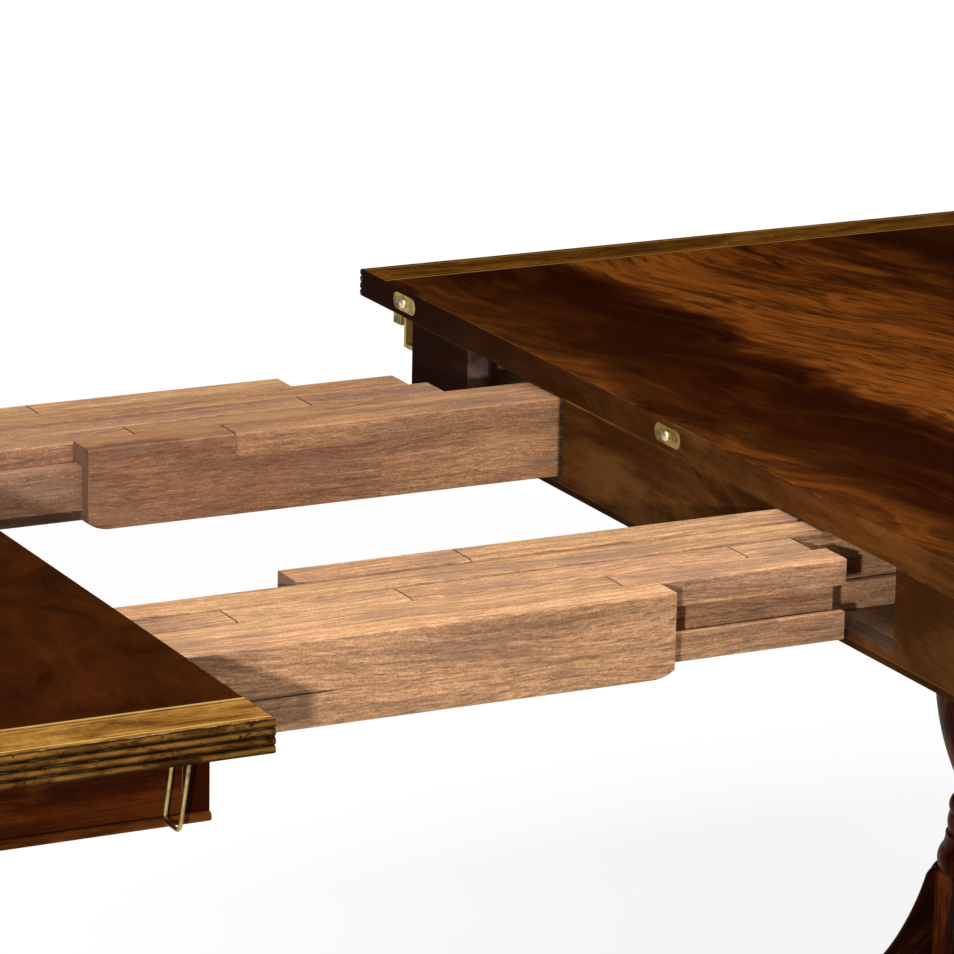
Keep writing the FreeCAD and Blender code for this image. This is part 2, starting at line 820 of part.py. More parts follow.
def keeper(sign):
    """Flange under the top with a hollow body below it that the bail passes round, and a lug beside it."""
    solid = []
    for front, wall in ((keeper_offset, 0), (keeper_offset - overrun, keeper_wall)):
        half = keeper_width / 2 - wall
        points = [vec(x, sign * clip_centre - half, z) for x, z in keeper_profile(front, wall)]
        solid.append(prism(points, vec(0, 2 * half, 0)))
    flange = box((keeper_offset, keeper_offset + clip_plate_width),
                 (sign * keeper_flange_inner, sign * keeper_flange_outer),
                 (underside - clip_plate_thickness, underside))
    lug = box((keeper_offset, keeper_offset + keeper_wall),
              (sign * keeper_lug_inner, sign * keeper_flange_outer),
              (underside - clip_plate_thickness - keeper_lug_height, underside))
    return fused([flange, lug, solid[0]]).cut(solid[1])


def bail_brackets():
    screws = Part.makeCompound(clip_screws(-1))
    return [on_half(bail_bracket(y).cut(screws), -1) for y in clip_places()]


def keepers():
    screws = Part.makeCompound(clip_screws(1))
    return [on_half(keeper(s).cut(screws), 1) for s in (-1, 1)]


def fixing_screws(side):
    screws = slide_screws(side) + plate_screws() + face_plate_screws() + clip_screws(side)
    return [on_half(s, side) for s in screws]


# Writing the pieces

for side, word in ((-1, "left"), (1, "right")):
    write(word + "_top_panel", [top_panel(side)])
    write(word + "_reeded_edge", reeded_edge(side))
    write(word + "_joint_apron", [joint_apron(side)])
    write(word + "_near_apron", [side_apron(side, -1)])
    write(word + "_far_apron", [side_apron(side, 1)])
    write(word + "_end_apron", [end_apron(side)])
    write(word + "_apron_bead", apron_bead(side))
    write(word + "_corner_blocks", corner_blocks(side))
    write(word + "_battens", battens(side))
    write(word + "_pedestal_plate", [pedestal_plate(side)])
    write(word + "_column", [column(side)])
    write(word + "_legs", around_pedestal(leg_with_bore(), side))
    write(word + "_toe_caps", around_pedestal(toe_cap(), side))
    write(word + "_fixing_screws", fixing_screws(side))
    forks = around_pedestal(castor_fork(), side)
    wheels = around_pedestal(castor_wheel(), side)
    for number in range(leg_count):
        write(word + "_castor_fork_" + str(number + 1), [forks[number]])
        write(word + "_castor_wheel_" + str(number + 1), [wheels[number]])

write("leaf_tongues", leaf_tongues())
write("leaf_sockets", leaf_sockets())
write("bail_brackets", bail_brackets())
write("keepers", keepers())

for sign, word in ((-1, "near"), (1, "far")):
    write(word + "_slide_a", [fixed_slide(sign, -1)])
    write(word + "_slide_e", [fixed_slide(sign, 1)])
    for lane in ("b", "c", "d"):
        write(word + "_slide_" + lane, [slide_bar(lane, sign)])
    write(word + "_bail", [on_half(bail(-sign * clip_centre), -1)])
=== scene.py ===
import json
import random
from math import atan2, cos, hypot, pi, radians, sin, sqrt, tau

import bmesh
import bpy
from mathutils import Matrix, Vector

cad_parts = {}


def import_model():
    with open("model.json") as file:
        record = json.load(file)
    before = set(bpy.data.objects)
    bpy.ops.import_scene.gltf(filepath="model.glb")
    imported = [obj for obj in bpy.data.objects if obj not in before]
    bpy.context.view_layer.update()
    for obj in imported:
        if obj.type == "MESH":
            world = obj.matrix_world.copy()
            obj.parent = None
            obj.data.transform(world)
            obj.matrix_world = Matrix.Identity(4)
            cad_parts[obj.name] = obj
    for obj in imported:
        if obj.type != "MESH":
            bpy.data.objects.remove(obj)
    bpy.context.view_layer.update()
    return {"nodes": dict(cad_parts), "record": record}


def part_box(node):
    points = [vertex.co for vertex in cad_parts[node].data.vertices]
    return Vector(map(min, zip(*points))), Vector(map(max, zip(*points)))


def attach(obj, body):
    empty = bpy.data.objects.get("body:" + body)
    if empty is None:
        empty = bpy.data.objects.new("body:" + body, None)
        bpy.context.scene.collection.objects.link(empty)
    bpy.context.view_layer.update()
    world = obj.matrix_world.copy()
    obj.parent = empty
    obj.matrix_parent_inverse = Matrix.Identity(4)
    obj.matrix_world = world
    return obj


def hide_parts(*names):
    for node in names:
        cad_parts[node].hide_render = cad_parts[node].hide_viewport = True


# The looks of an extending dining table, drawn open. Metres; X along the table, Y across it, Z up.

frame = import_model()

# Camera, fitted to the edges of the two tops: focal length in image widths, turn and tilt in degrees
camera_place = (-1.8706, -3.9396, 1.9741)
camera_focal = 5444.1 / 954
camera_yaw = 27.068
camera_pitch = 15.583
camera_roll = 1.1095
sensor_width = 36.0

# Sizes read from the frame
edge_low, edge_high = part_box("right_reeded_edge")
panel_low, panel_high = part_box("right_top_panel")
apron_low, apron_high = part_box("right_joint_apron")
half_gap = edge_low.x
table_end = edge_high.x
half_width = edge_high.y
table_height = edge_high.z
underside = edge_low.z
lipping_depth = half_width - panel_high.y
apron_half_width = apron_high.y
apron_bottom = apron_low.z
apron_thickness = 0.020
apron_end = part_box("right_end_apron")[1].x
bead_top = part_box("right_apron_bead")[1].z
column_axis_x = sum(v.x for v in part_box("right_column")) / 2

# Inlay on the tops, as distances from the outer edge
inlay_line = 0.0015
inner_line = 0.0026
inner_string = 0.0545
second_string = 0.0505
third_string = 0.0475
outer_string = 0.009
lipping_arris = 0.0034
reed_count = 4

# Veneer of each half: direction of the figure, how far the bands stray, their tones from the joint
# (0) to the end (1), the cells per metre and the strength of the dark dashes and of the clouds,
# and the tones of the crossband and its lines
flames = {
    "left": {
        "turn": 103.0, "feather": 0.05, "wave": 0.1, "dash": (16.0, 60.0, 0.15), "cloud": (9.0, 15.0, 0.6),
        "streak": (0.86, 1.14), "calm": 0.5,
        "tones": ((0.0, (54, 26, 6)), (0.1, (62, 28, 7)), (0.2, (58, 25, 6)), (0.3, (76, 35, 9)),
                  (0.42, (104, 52, 15)), (0.55, (70, 31, 8)), (0.7, (48, 18, 4)), (0.85, (74, 34, 9)),
                  (1.0, (52, 22, 6))),
        "cloudy": (96, 44, 15),
        "band": ((92, 54, 16), (154, 106, 44), (200, 150, 74)), "line": (214, 170, 98),
    },
    "right": {
        "turn": 76.0, "feather": 0.1, "wave": 0.16, "dash": (6.0, 40.0, 0.75), "cloud": (6.0, 20.0, 0.84),
        "streak": (0.58, 1.42), "calm": 0.12,
        "tones": ((0.0, (82, 43, 13)), (0.04, (72, 36, 10)), (0.09, (52, 21, 4)), (0.14, (44, 14, 2)),
                  (0.2, (42, 13, 2)), (0.228, (84, 38, 9)), (0.262, (132, 72, 22)), (0.3, (126, 67, 19)),
                  (0.4, (108, 54, 13)), (0.48, (78, 36, 8)), (0.56, (44, 15, 3)), (0.66, (62, 27, 7)),
                  (0.76, (42, 13, 2)), (0.88, (84, 40, 11)), (1.0, (52, 22, 6))),
        "cloudy": (146, 78, 24),
        "band": ((62, 32, 6), (102, 62, 16), (142, 94, 32)), "line": (172, 124, 58),
    },
}

# Notches in the joint aprons
notch_span = (0.1912, 0.3812)
notch_floor = 0.6705
raw_depth = 0.0005
joint_strip = 0.0065


def srgb(red, green, blue):
    """Linear colour of a screen colour given in 0 to 255."""
    def linear(value):
        share = value / 255
        return share / 12.92 if share <= 0.04045 else ((share + 0.055) / 1.055) ** 2.4

    return (linear(red), linear(green), linear(blue), 1.0)


def math_node(operation, swapped=False):
    """A method that puts a math node after a value, with the value second where it is swapped."""
    def method(value, *others):
        values = (value,) + others
        return value.graph.math(operation, *(reversed(values) if swapped else values))

    return method


class Value:
    """A number, vector or colour that varies over a surface: an output in a node graph."""

    def __init__(self, graph, socket):
        self.graph = graph
        self.socket = socket

    __add__ = math_node("ADD")
    __radd__ = math_node("ADD", True)
    __sub__ = math_node("SUBTRACT")
    __rsub__ = math_node("SUBTRACT", True)
    __mul__ = math_node("MULTIPLY")
    __truediv__ = math_node("DIVIDE")
    __gt__ = math_node("GREATER_THAN")
    __lt__ = math_node("LESS_THAN")
    __abs__ = math_node("ABSOLUTE")
    least = math_node("MINIMUM")
    greatest = math_node("MAXIMUM")

    def span(self, low, high, start=0.0, end=1.0):
        """The number mapped smoothly from low..high to start..end, and held outside."""
        if low > high:
            low, high, start, end = high, low, end, start
        inputs = {0: self, 1: low, 2: high, 3: start, 4: end}
        return self.graph.add("ShaderNodeMapRange", inputs, interpolation_type="SMOOTHSTEP")

    def band(self, centre, width):
        """One inside a thin band round the centre, zero outside it, with soft flanks."""
        return abs(self - centre).span(width * 0.35, width * 0.65, 1.0, 0.0)

    def toward(self, tone, share):
        """The colour with a share of another mixed in."""
        return self.graph.mix(share, self, tone)

    def shaded(self, shade, share=1.0):
        """The colour multiplied by a number, in part where the share is below one."""
        return self.graph.mix(share, self, self.graph.join(shade, shade, shade), "MULTIPLY")


class Graph:
    """The node tree of a material or world, with a short call for each kind of node it needs."""

    def __init__(self, owner, shader):
        owner.use_nodes = True
        self.tree = owner.node_tree
        self.shader = self.tree.nodes[shader]

    def plug(self, socket, value):
        if isinstance(value, Value):
            self.tree.links.new(value.socket, socket)
        else:
            socket.default_value = value

    def node(self, kind, inputs, **settings):
        node = self.tree.nodes.new(kind)
        for name, value in settings.items():
            setattr(node, name, value)
        for key, value in inputs.items():
            self.plug(node.inputs[key], value)
        return node

    def add(self, kind, inputs, output=0, **settings):
        """Adds a node and gives one of its outputs."""
        return Value(self, self.node(kind, inputs, **settings).outputs[output])

    def math(self, operation, *values):
        return self.add("ShaderNodeMath", dict(enumerate(values)), operation=operation)

    def vector(self, operation, *values):
        output = "Value" if operation in ("DOT_PRODUCT", "LENGTH") else "Vector"
        return self.add("ShaderNodeVectorMath", dict(enumerate(values)), output, operation=operation)

    def split(self, vector):
        return [Value(self, socket) for socket in self.node("ShaderNodeSeparateXYZ", {0: vector}).outputs]

    def join(self, x, y, z):
        return self.add("ShaderNodeCombineXYZ", {0: x, 1: y, 2: z})

    def mix(self, share, first, second, blend="MIX"):
        """Two colours mixed. A tone given as three numbers is a screen colour."""
        tones = [srgb(*tone) if isinstance(tone, tuple) else tone for tone in (first, second)]
        inputs = {0: share, 6: tones[0], 7: tones[1]}
        return self.add("ShaderNodeMix", inputs, 2, data_type="RGBA", blend_type=blend)

    def seen_rays(self):
        """One for rays from the camera, off a gloss or through glass, which see the backdrop."""
        rays = self.node("ShaderNodeLightPath", {}).outputs
        camera_ray, glossy, transmitted = [Value(self, rays["Is " + word + " Ray"])
                                           for word in ("Camera", "Glossy", "Transmission")]
        return camera_ray.greatest(glossy).greatest(transmitted)


class Surface(Graph):
    """A material, with the place of each point, where it faces, and noises and ramps over it."""

    def __init__(self, name):
        self.material = bpy.data.materials.new(name)
        super().__init__(self.material, "Principled BSDF")
        texture = self.node("ShaderNodeTexCoord", {}).outputs
        self.place = Value(self, texture["Object"])
        self.x, self.y, self.z = self.split(self.place)
        self.facing = self.split(Value(self, texture["Normal"]))

    def turned(self, vector, degrees):
        inputs = {"Vector": vector, "Angle": radians(degrees)}
        return self.add("ShaderNodeVectorRotate", inputs, rotation_type="Z_AXIS")

    def blend_vectors(self, share, first, second):
        return self.add("ShaderNodeMix", {0: share, 4: first, 5: second}, 1, data_type="VECTOR")

    def noise_at(self, vector, detail=3.0, roughness=0.55, distortion=0.0):
        inputs = {"Vector": vector, "Scale": 1.0, "Detail": detail, "Roughness": roughness,
                  "Distortion": distortion}
        return self.add("ShaderNodeTexNoise", inputs)

    def noise(self, space, along, across, seed, *settings):
        """Noise in a grain space, with its cells per metre along and across the grain."""
        scaled = self.vector("MULTIPLY", space, (along, across, across))
        return self.noise_at(self.vector("ADD", scaled, (seed, seed * 0.7, seed * 1.3)), *settings)

    def ramp(self, value, stops):
        """Colour ramp through (place, screen colour) stops."""
        colour = self.add("ShaderNodeValToRGB", {0: value})
        elements = colour.socket.node.color_ramp.elements
        while len(elements) < len(stops):
            elements.new(0.5)
        for element, (position, tone) in zip(elements, stops):
            element.position = position
            element.color = srgb(*tone)
        return colour

    def rubbed_and_highlit_arris(self, radius):
        """One at outer and inner arrises, from the bevelled normal; it marks rubbed wear and a painted
        highlight.
        """
        eased = self.add("ShaderNodeBevel", {"Radius": radius}, samples=4)
        normal = self.add("ShaderNodeNewGeometry", {}, "Normal")
        return self.vector("DOT_PRODUCT", eased, normal).span(0.75, 0.99, 1.0, 0.0)

    def finish(self, colour, roughness, height=None, relief=0.0, specular=0.0, metallic=0.0):
        inputs = self.shader.inputs
        self.plug(inputs["Base Color"], colour)
        self.plug(inputs["Roughness"], roughness)
        inputs["Metallic"].default_value = metallic
        inputs["Specular IOR Level"].default_value = specular
        if height is not None:
            relief_inputs = {"Height": height, "Strength": 1.0, "Distance": relief}
            self.plug(inputs["Normal"], self.add("ShaderNodeBump", relief_inputs))
        return self.material


# Woods

arris_line = 0.0008


def grain_space(graph, axis):
    """Object space turned so that the grain runs along its first axis."""
    x, y, z = graph.x, graph.y, graph.z
    if axis == "x":
        return graph.place
    if axis == "y":
        return graph.join(y, x, z)
    if axis == "z":
        return graph.join(z, x, y)
    beside = abs(x) - column_axis_x
    out = graph.vector("LENGTH", graph.join(beside, y, 0.0))
    along = z * -0.8 + out * 0.6
    up = z * 0.6 + out * 0.8
    return graph.join(along, (abs(beside) - abs(y)) * 0.7, up)


def figure(graph, space, seed):
    """Figure of a plain sawn hardwood, about 0 to 1, its clouds, and its pores."""
    streak = graph.noise(space, 2.2, 26.0, seed, 5.0, 0.6, 0.5)
    fine = graph.noise(space, 7.0, 190.0, seed + 3, 3.0, 0.6)
    cloud = graph.noise(space, 2.5, 6.0, seed + 7, 2.0)
    pores = graph.noise(space, 55.0, 950.0, seed + 11, 2.0, 0.6).span(0.56, 0.7)
    return streak * 0.55 + cloud * 0.25 + fine * 0.2, cloud, pores


def bared(colour, shine, mask, raw):
    """The polish left off where the mask says, so that the raw wood shows."""
    return colour.toward(raw, mask), shine.greatest(mask * 0.7)


def polished_wood(name, axis, seed, tones, raw_mask=None, roughness=0.36, specular=0.02, arris_share=0.5,
                  rubbed_and_highlit_arris_tone=(132, 78, 34), arris=0.0016, seam=None):
    """Stained and polished hardwood, rubbed lighter along its arrises, with a painted highlight there as
    well; raw where the mask says.
    """
    graph = Surface(name)
    space = grain_space(graph, axis)
    value, cloud, pores = figure(graph, space, seed)
    dark, mid, light = tones
    colour = graph.ramp(value, ((0.36, dark), (0.5, mid), (0.64, light)))
    patch = graph.noise(space, 14.0, 34.0, seed + 27, 4.0, 0.65, 0.8)
    colour = colour.toward(light, patch.span(0.5, 0.66, 0.0, 0.5))
    colour = colour.toward(dark, patch.span(0.48, 0.34, 0.0, 0.6))
    # Arrises lighter: rubbed wear, and a painted highlight.
    colour = colour.toward(rubbed_and_highlit_arris_tone, graph.rubbed_and_highlit_arris(arris) * cloud.span(0.35, 0.65, 0.2, arris_share))
    colour = colour.toward((18, 8, 4), pores * 0.5)
    if seam is not None:
        colour = colour.toward((16, 5, 2), graph.z.band(seam, 0.0026) * 0.8)
    shine = cloud * 0.25 + (roughness - 0.12)
    if raw_mask is not None:
        raw = graph.ramp(value, ((0.35, (120, 84, 58)), (0.6, (172, 130, 98))))
        colour, shine = bared(colour, shine, raw_mask(graph), raw)
    return graph.finish(colour, shine, value * 0.4 - pores, 0.00006, specular)


def raw_inside_side(graph):
    """The inner face of a side apron."""
    return abs(graph.y) < apron_half_width - apron_thickness + raw_depth


def raw_inside_end(graph):
    """The inner face of an end apron."""
    return abs(graph.x) < apron_end - apron_thickness + raw_depth


def edge_distances(graph):
    """Distances to the long edge, to the end, and to the nearer of the two."""
    side = half_width - abs(graph.y)
    end = table_end - abs(graph.x)
    return side, end, side.least(end)


def run_space(graph, side, end):
    """Grain space of the edging: along X beside the long edges, along Y beside the end."""
    return graph.blend_vectors(end < side, graph.place, grain_space(graph, "y"))


def golden_band(graph, space, seed, tones):
    """Colour of the satin crossband and of the lipping's top: mottled, with fine lines along it."""
    cloud = graph.noise(space, 12.0, 24.0, seed, 5.0, 0.68, 1.2)
    line = graph.noise(space, 3.0, 380.0, seed + 5, 3.0, 0.6)
    fleck = graph.noise(space, 190.0, 420.0, seed + 9, 3.0, 0.7)
    return graph.ramp(line * 0.28 + cloud * 0.52 + fleck * 0.2, tuple(zip((0.38, 0.5, 0.62), tones)))


def flame_field(graph, settings, seed, out):
    """Flame figure in bands that follow the distance from the joint, and its pores."""
    sway = (graph.noise(graph.place, 2.0, 3.2, seed + 6, 2.0) - 0.5) * 0.16
    space = graph.turned(graph.vector("ADD", graph.place, graph.join(sway, 0.0, 0.0)), settings["turn"])
    puff = graph.noise(space, 11.0, 13.0, seed, 4.0, 0.55, 0.3)
    wave = graph.noise(space, 2.6, 5.0, seed + 4, 2.0, 0.5)
    shift = (puff - 0.5) * settings["feather"] + (wave - 0.5) * settings["wave"]
    field = graph.ramp((out + shift) / (table_end - half_gap), settings["tones"])
    liveliness = graph.split(field)[0].span(0.03, 0.12, settings["calm"], 1.0)
    streak = graph.noise(space, 9.0, 170.0, seed + 9, 5.0, 0.7, 0.5)
    fine = graph.noise(space, 34.0, 620.0, seed + 19, 3.0, 0.7)
    shade = streak.span(0.32, 0.68, *settings["streak"]) * fine.span(0.3, 0.7, 0.84, 1.14)
    field = field.shaded(shade, liveliness)
    along, across, strength = settings["cloud"]
    cloudy = graph.noise(space, along, across, seed + 23, 4.0, 0.62, 0.8)
    field = field.toward(settings["cloudy"], cloudy.span(0.48, 0.66, 0.0, strength) * liveliness)
    field = field.toward((42, 15, 4), cloudy.span(0.48, 0.36, 0.0, 0.7))
    along, across, strength = settings["dash"]
    dash = graph.noise(space, along, across, seed + 13, 5.0, 0.7, 0.9)
    field = field.toward((46, 18, 4), dash.span(0.5, 0.68, 0.0, strength))
    tick = graph.noise(space, 30.0, 210.0, seed + 16, 3.0, 0.6, 0.4)
    field = field.toward((38, 14, 3), tick.span(0.56, 0.68, 0.0, strength) * liveliness)
    pores = graph.noise(space, 70.0, 800.0, seed + 2, 3.0, 0.7).span(0.5, 0.72)
    return field.toward((26, 9, 3), pores * 0.3), pores


def veneer(side_word, seed):
    """Flame figured field inside a golden crossband with fine lines, over a plain underside."""
    graph = Surface(side_word + "_veneer")
    settings = flames[side_word]
    side, end, edge = edge_distances(graph)
    out = abs(graph.x) - half_gap
    field, pores = flame_field(graph, settings, seed, out)
    band = golden_band(graph, run_space(graph, side, end), seed, settings["band"])
    colour = field.toward(band, edge < inner_string)
    deep = (56, 32, 12)
    strings = ((inner_string, inner_line, 0.85, settings["line"]),
               (inner_string + inner_line, inlay_line, 0.7, deep),
               (second_string, inlay_line, 0.6, deep),
               (third_string, inlay_line, 0.5, settings["line"]))
    for place, width, share, tone in strings:
        colour = colour.toward(tone, edge.band(place, width) * share)
    mitre = (side - end).band(0.0, arris_line) * (edge < inner_string)
    colour = colour.toward(deep, mitre * 0.6)
    space = grain_space(graph, "y")
    value, cloud, _ = figure(graph, space, seed + 21)
    under = graph.ramp(value, ((0.36, (74, 46, 26)), (0.66, (118, 80, 48))))
    colour = under.toward(colour, graph.facing[2].span(-0.5, 0.3))
    # Arrises lighter: rubbed wear, and a painted highlight.
    colour = colour.toward((140, 96, 50), graph.rubbed_and_highlit_arris(0.001) * cloud.span(0.42, 0.6, 0.0, 0.5))
    speck_noise = graph.noise(space, 70.0, 300.0, seed + 41, 3.0, 0.7)
    colour = colour.toward((160, 114, 72), speck_noise.span(0.54, 0.64) * (out < 0.001) * 0.55)
    return graph.finish(colour, cloud * 0.14 + 0.2, cloud * 0.3 + pores * -0.4, 0.00003, 0.08)


def raw_behind_joint(graph):
    """Unpolished back of the joint apron, and the sawn faces of its notches."""
    out, aside = abs(graph.x), abs(graph.y)
    notch = (aside > notch_span[0]) * (aside < notch_span[1]) * (graph.z > notch_floor)
    return (out > apron_high.x - raw_depth).greatest(notch * (out > half_gap + raw_depth))


def joint_wood(name, seed, apron):
    """Dark polish on the faces that meet at the joint, dulled and rubbed brown, with painted shade towards
    the far side and, on the apron, painted shade and highlight lines; raw behind on the apron.
    """
    graph = Surface(name)
    y, z = graph.y, graph.z
    space = grain_space(graph, "y")
    value, cloud, pores = figure(graph, space, seed)
    rubbed = graph.noise(space, 4.0, 12.0, seed + 17, 5.0, 0.65, 0.6)
    colour = graph.ramp(value, ((0.36, (70, 36, 13)), (0.5, (100, 58, 23)), (0.64, (134, 82, 36))))
    colour = colour.toward((156, 104, 52), rubbed.span(0.48, 0.68, 0.0, 0.7))
    colour = colour.toward((44, 19, 5), rubbed.span(0.46, 0.32, 0.0, 0.7))
    # Painted shade: darker towards the far side.
    colour = colour.toward((40, 13, 1), y.span(-0.1, 0.5, 0.0, 0.96))
    if apron:
        colour = colour.toward((48, 26, 12), y.span(-0.3, -0.44, 0.0, 0.55))
        colour = colour.toward((52, 17, 3), abs(y) > apron_half_width - raw_depth)
        # Painted highlight along the line where the top meets the apron.
        line = z.band(underside - 0.0012, 0.002) * rubbed.span(0.42, 0.6, 0.1, 0.7)
        colour = colour.toward((164, 112, 60), line)
        # Painted shade on a strip along the bottom, and a painted highlight along its upper edge.
        colour = colour.toward((30, 15, 6), (z < apron_bottom + joint_strip) * 0.6)
        colour = colour.toward((130, 90, 50), z.band(apron_bottom + joint_strip, 0.0012) * 0.5)
    # Arrises lighter: rubbed wear, and a painted highlight.
    colour = colour.toward((128, 84, 42), graph.rubbed_and_highlit_arris(0.0014) * cloud.span(0.35, 0.65, 0.1, 0.5))
    colour = colour.toward((18, 8, 4), pores * 0.4)
    shine = cloud * 0.3 + 0.35
    if apron:
        raw = graph.ramp(value, ((0.38, (62, 42, 32)), (0.62, (136, 106, 90))))
        colour, shine = bared(colour, shine, raw_behind_joint(graph), raw)
    return graph.finish(colour, shine, value * 0.5 - pores, 0.00008, 0.005)


def lipping_wood(side_word):
    """Reeded lipping: golden on the crests, with painted shade in the quirks and on the faces that look down,
    and patchy with old polish.
    """
    graph = Surface(side_word + "_reeded_lipping")
    settings = flames[side_word]
    side, end, edge = edge_distances(graph)
    space = run_space(graph, side, end)
    value, cloud, pores = figure(graph, space, 41.0)
    up = graph.facing[2]
    top = up.span(0.97, 0.995)
    dark = (34, 18, 5)
    patina = graph.noise(space, 24.0, 90.0, 37.0, 5.0, 0.72, 0.8)
    flank = graph.mix(patina.span(0.34, 0.64), (62, 36, 12), (144, 98, 42))
    # Painted shade on the faces that look down.
    flank = flank.toward(dark, up.span(0.1, -0.55, 0.0, 0.75))
    colour = flank.toward(golden_band(graph, space, 31.0, settings["band"]), top)
    # Painted shade in the quirks between the reeds.
    colour = colour.toward(dark, edge.span(0.0003, 0.002) * (1.0 - top) * 0.95)
    nick = graph.noise(space, 130.0, 160.0, 53.0, 3.0, 0.6)
    colour = colour.toward(dark, nick.span(0.6, 0.68, 0.0, 0.8) * (1.0 - top))
    colour = colour.toward(settings["line"], edge.band(outer_string, inlay_line) * top)
    arris = edge.band(lipping_arris, 0.0012) * up.span(0.5, 0.6)
    colour = colour.toward((44, 24, 10), arris * 0.8)
    speck_noise = graph.noise(space, 60.0, 500.0, 47.0, 3.0, 0.7)
    pale_specks = speck_noise.span(0.5, 0.6) * edge.band(lipping_arris, 0.0022)
    colour = colour.toward((206, 180, 146), pale_specks * 0.7)
    colour = colour.toward(dark, pores * 0.4)
    colour = colour.toward(dark, (side - end).band(0.0, arris_line) * 0.6)
    return graph.finish(colour, cloud * 0.25 + 0.28, value - pores, 0.00008, 0.003)


# Slides: each is glued up from staves. For each slide: the heights of its glue lines, the places
# along the table where two staves of its top layer meet end to end, the staves' tones from the
# left, and how far from the left an open glue crack runs, if it has one.
no_crack = -1.0
stave_tones = {"light": (244, 187, 138), "pale": (236, 183, 133), "pink": (228, 174, 130),
               "grey": (196, 148, 114), "ochre": (204, 152, 110), "brown": (170, 120, 88)}
stave_cuts = {
    "near_slide_a": ((0.6993,), (-0.44,), ("pink", "light"), -0.175),
    "near_slide_b": ((0.7002, 0.722), (-0.4, 0.106), ("pale", "pale", "pink"), no_crack),
    "near_slide_c": ((0.712,), (-0.2136, -0.0637, 0.236), ("pink", "pale", "pink", "pale"), no_crack),
    "near_slide_d": ((0.698,), (-0.36, 0.42), ("pale", "pale", "pink"), no_crack),
    "near_slide_e": ((0.7215, 0.69), (0.022, 0.38), ("pink", "pale", "grey"), 0.5),
    "far_slide_a": ((0.705,), (-0.118, 0.33), ("pale", "pale", "pink"), no_crack),
    "far_slide_b": ((0.695,), (-0.42, 0.4), ("grey", "ochre", "grey"), no_crack),
    "far_slide_c": ((0.71,), (-0.33, 0.112), ("pink", "grey", "grey"), no_crack),
    "far_slide_d": ((0.702,), (-0.07, 0.4), ("grey", "ochre", "grey"), no_crack),
    "far_slide_e": ((0.7225, 0.6845), (0.007, 0.46), ("brown", "ochre", "pink"), no_crack),
}
layer_stagger = 0.14
ring_rate = 900.0
glue_line = 0.0014
butt_line = 0.0018


def lines_at(value, places, width):
    """One in a thin band at each of the places."""
    lines = value.band(places[0], width)
    for place in places[1:]:
        lines = lines.greatest(value.band(place, width))
    return lines


def slide_seams(graph, node, run, below, fade):
    """Glue lines that come and go, and the joints where staves of the top layer meet."""
    layers, butts, _, crack_end = stave_cuts[node]
    crack = graph.x.span(crack_end, crack_end + 0.03, 0.9, 0.0)
    glue = lines_at(graph.z, layers, glue_line) * fade.greatest(crack)
    butt = lines_at(run, butts, butt_line) * (below < 0.5).span(0.0, 1.0, 0.1, 0.75)
    return glue.greatest(butt * abs(graph.facing[2]).span(0.2, 0.8, 0.25, 1.0))


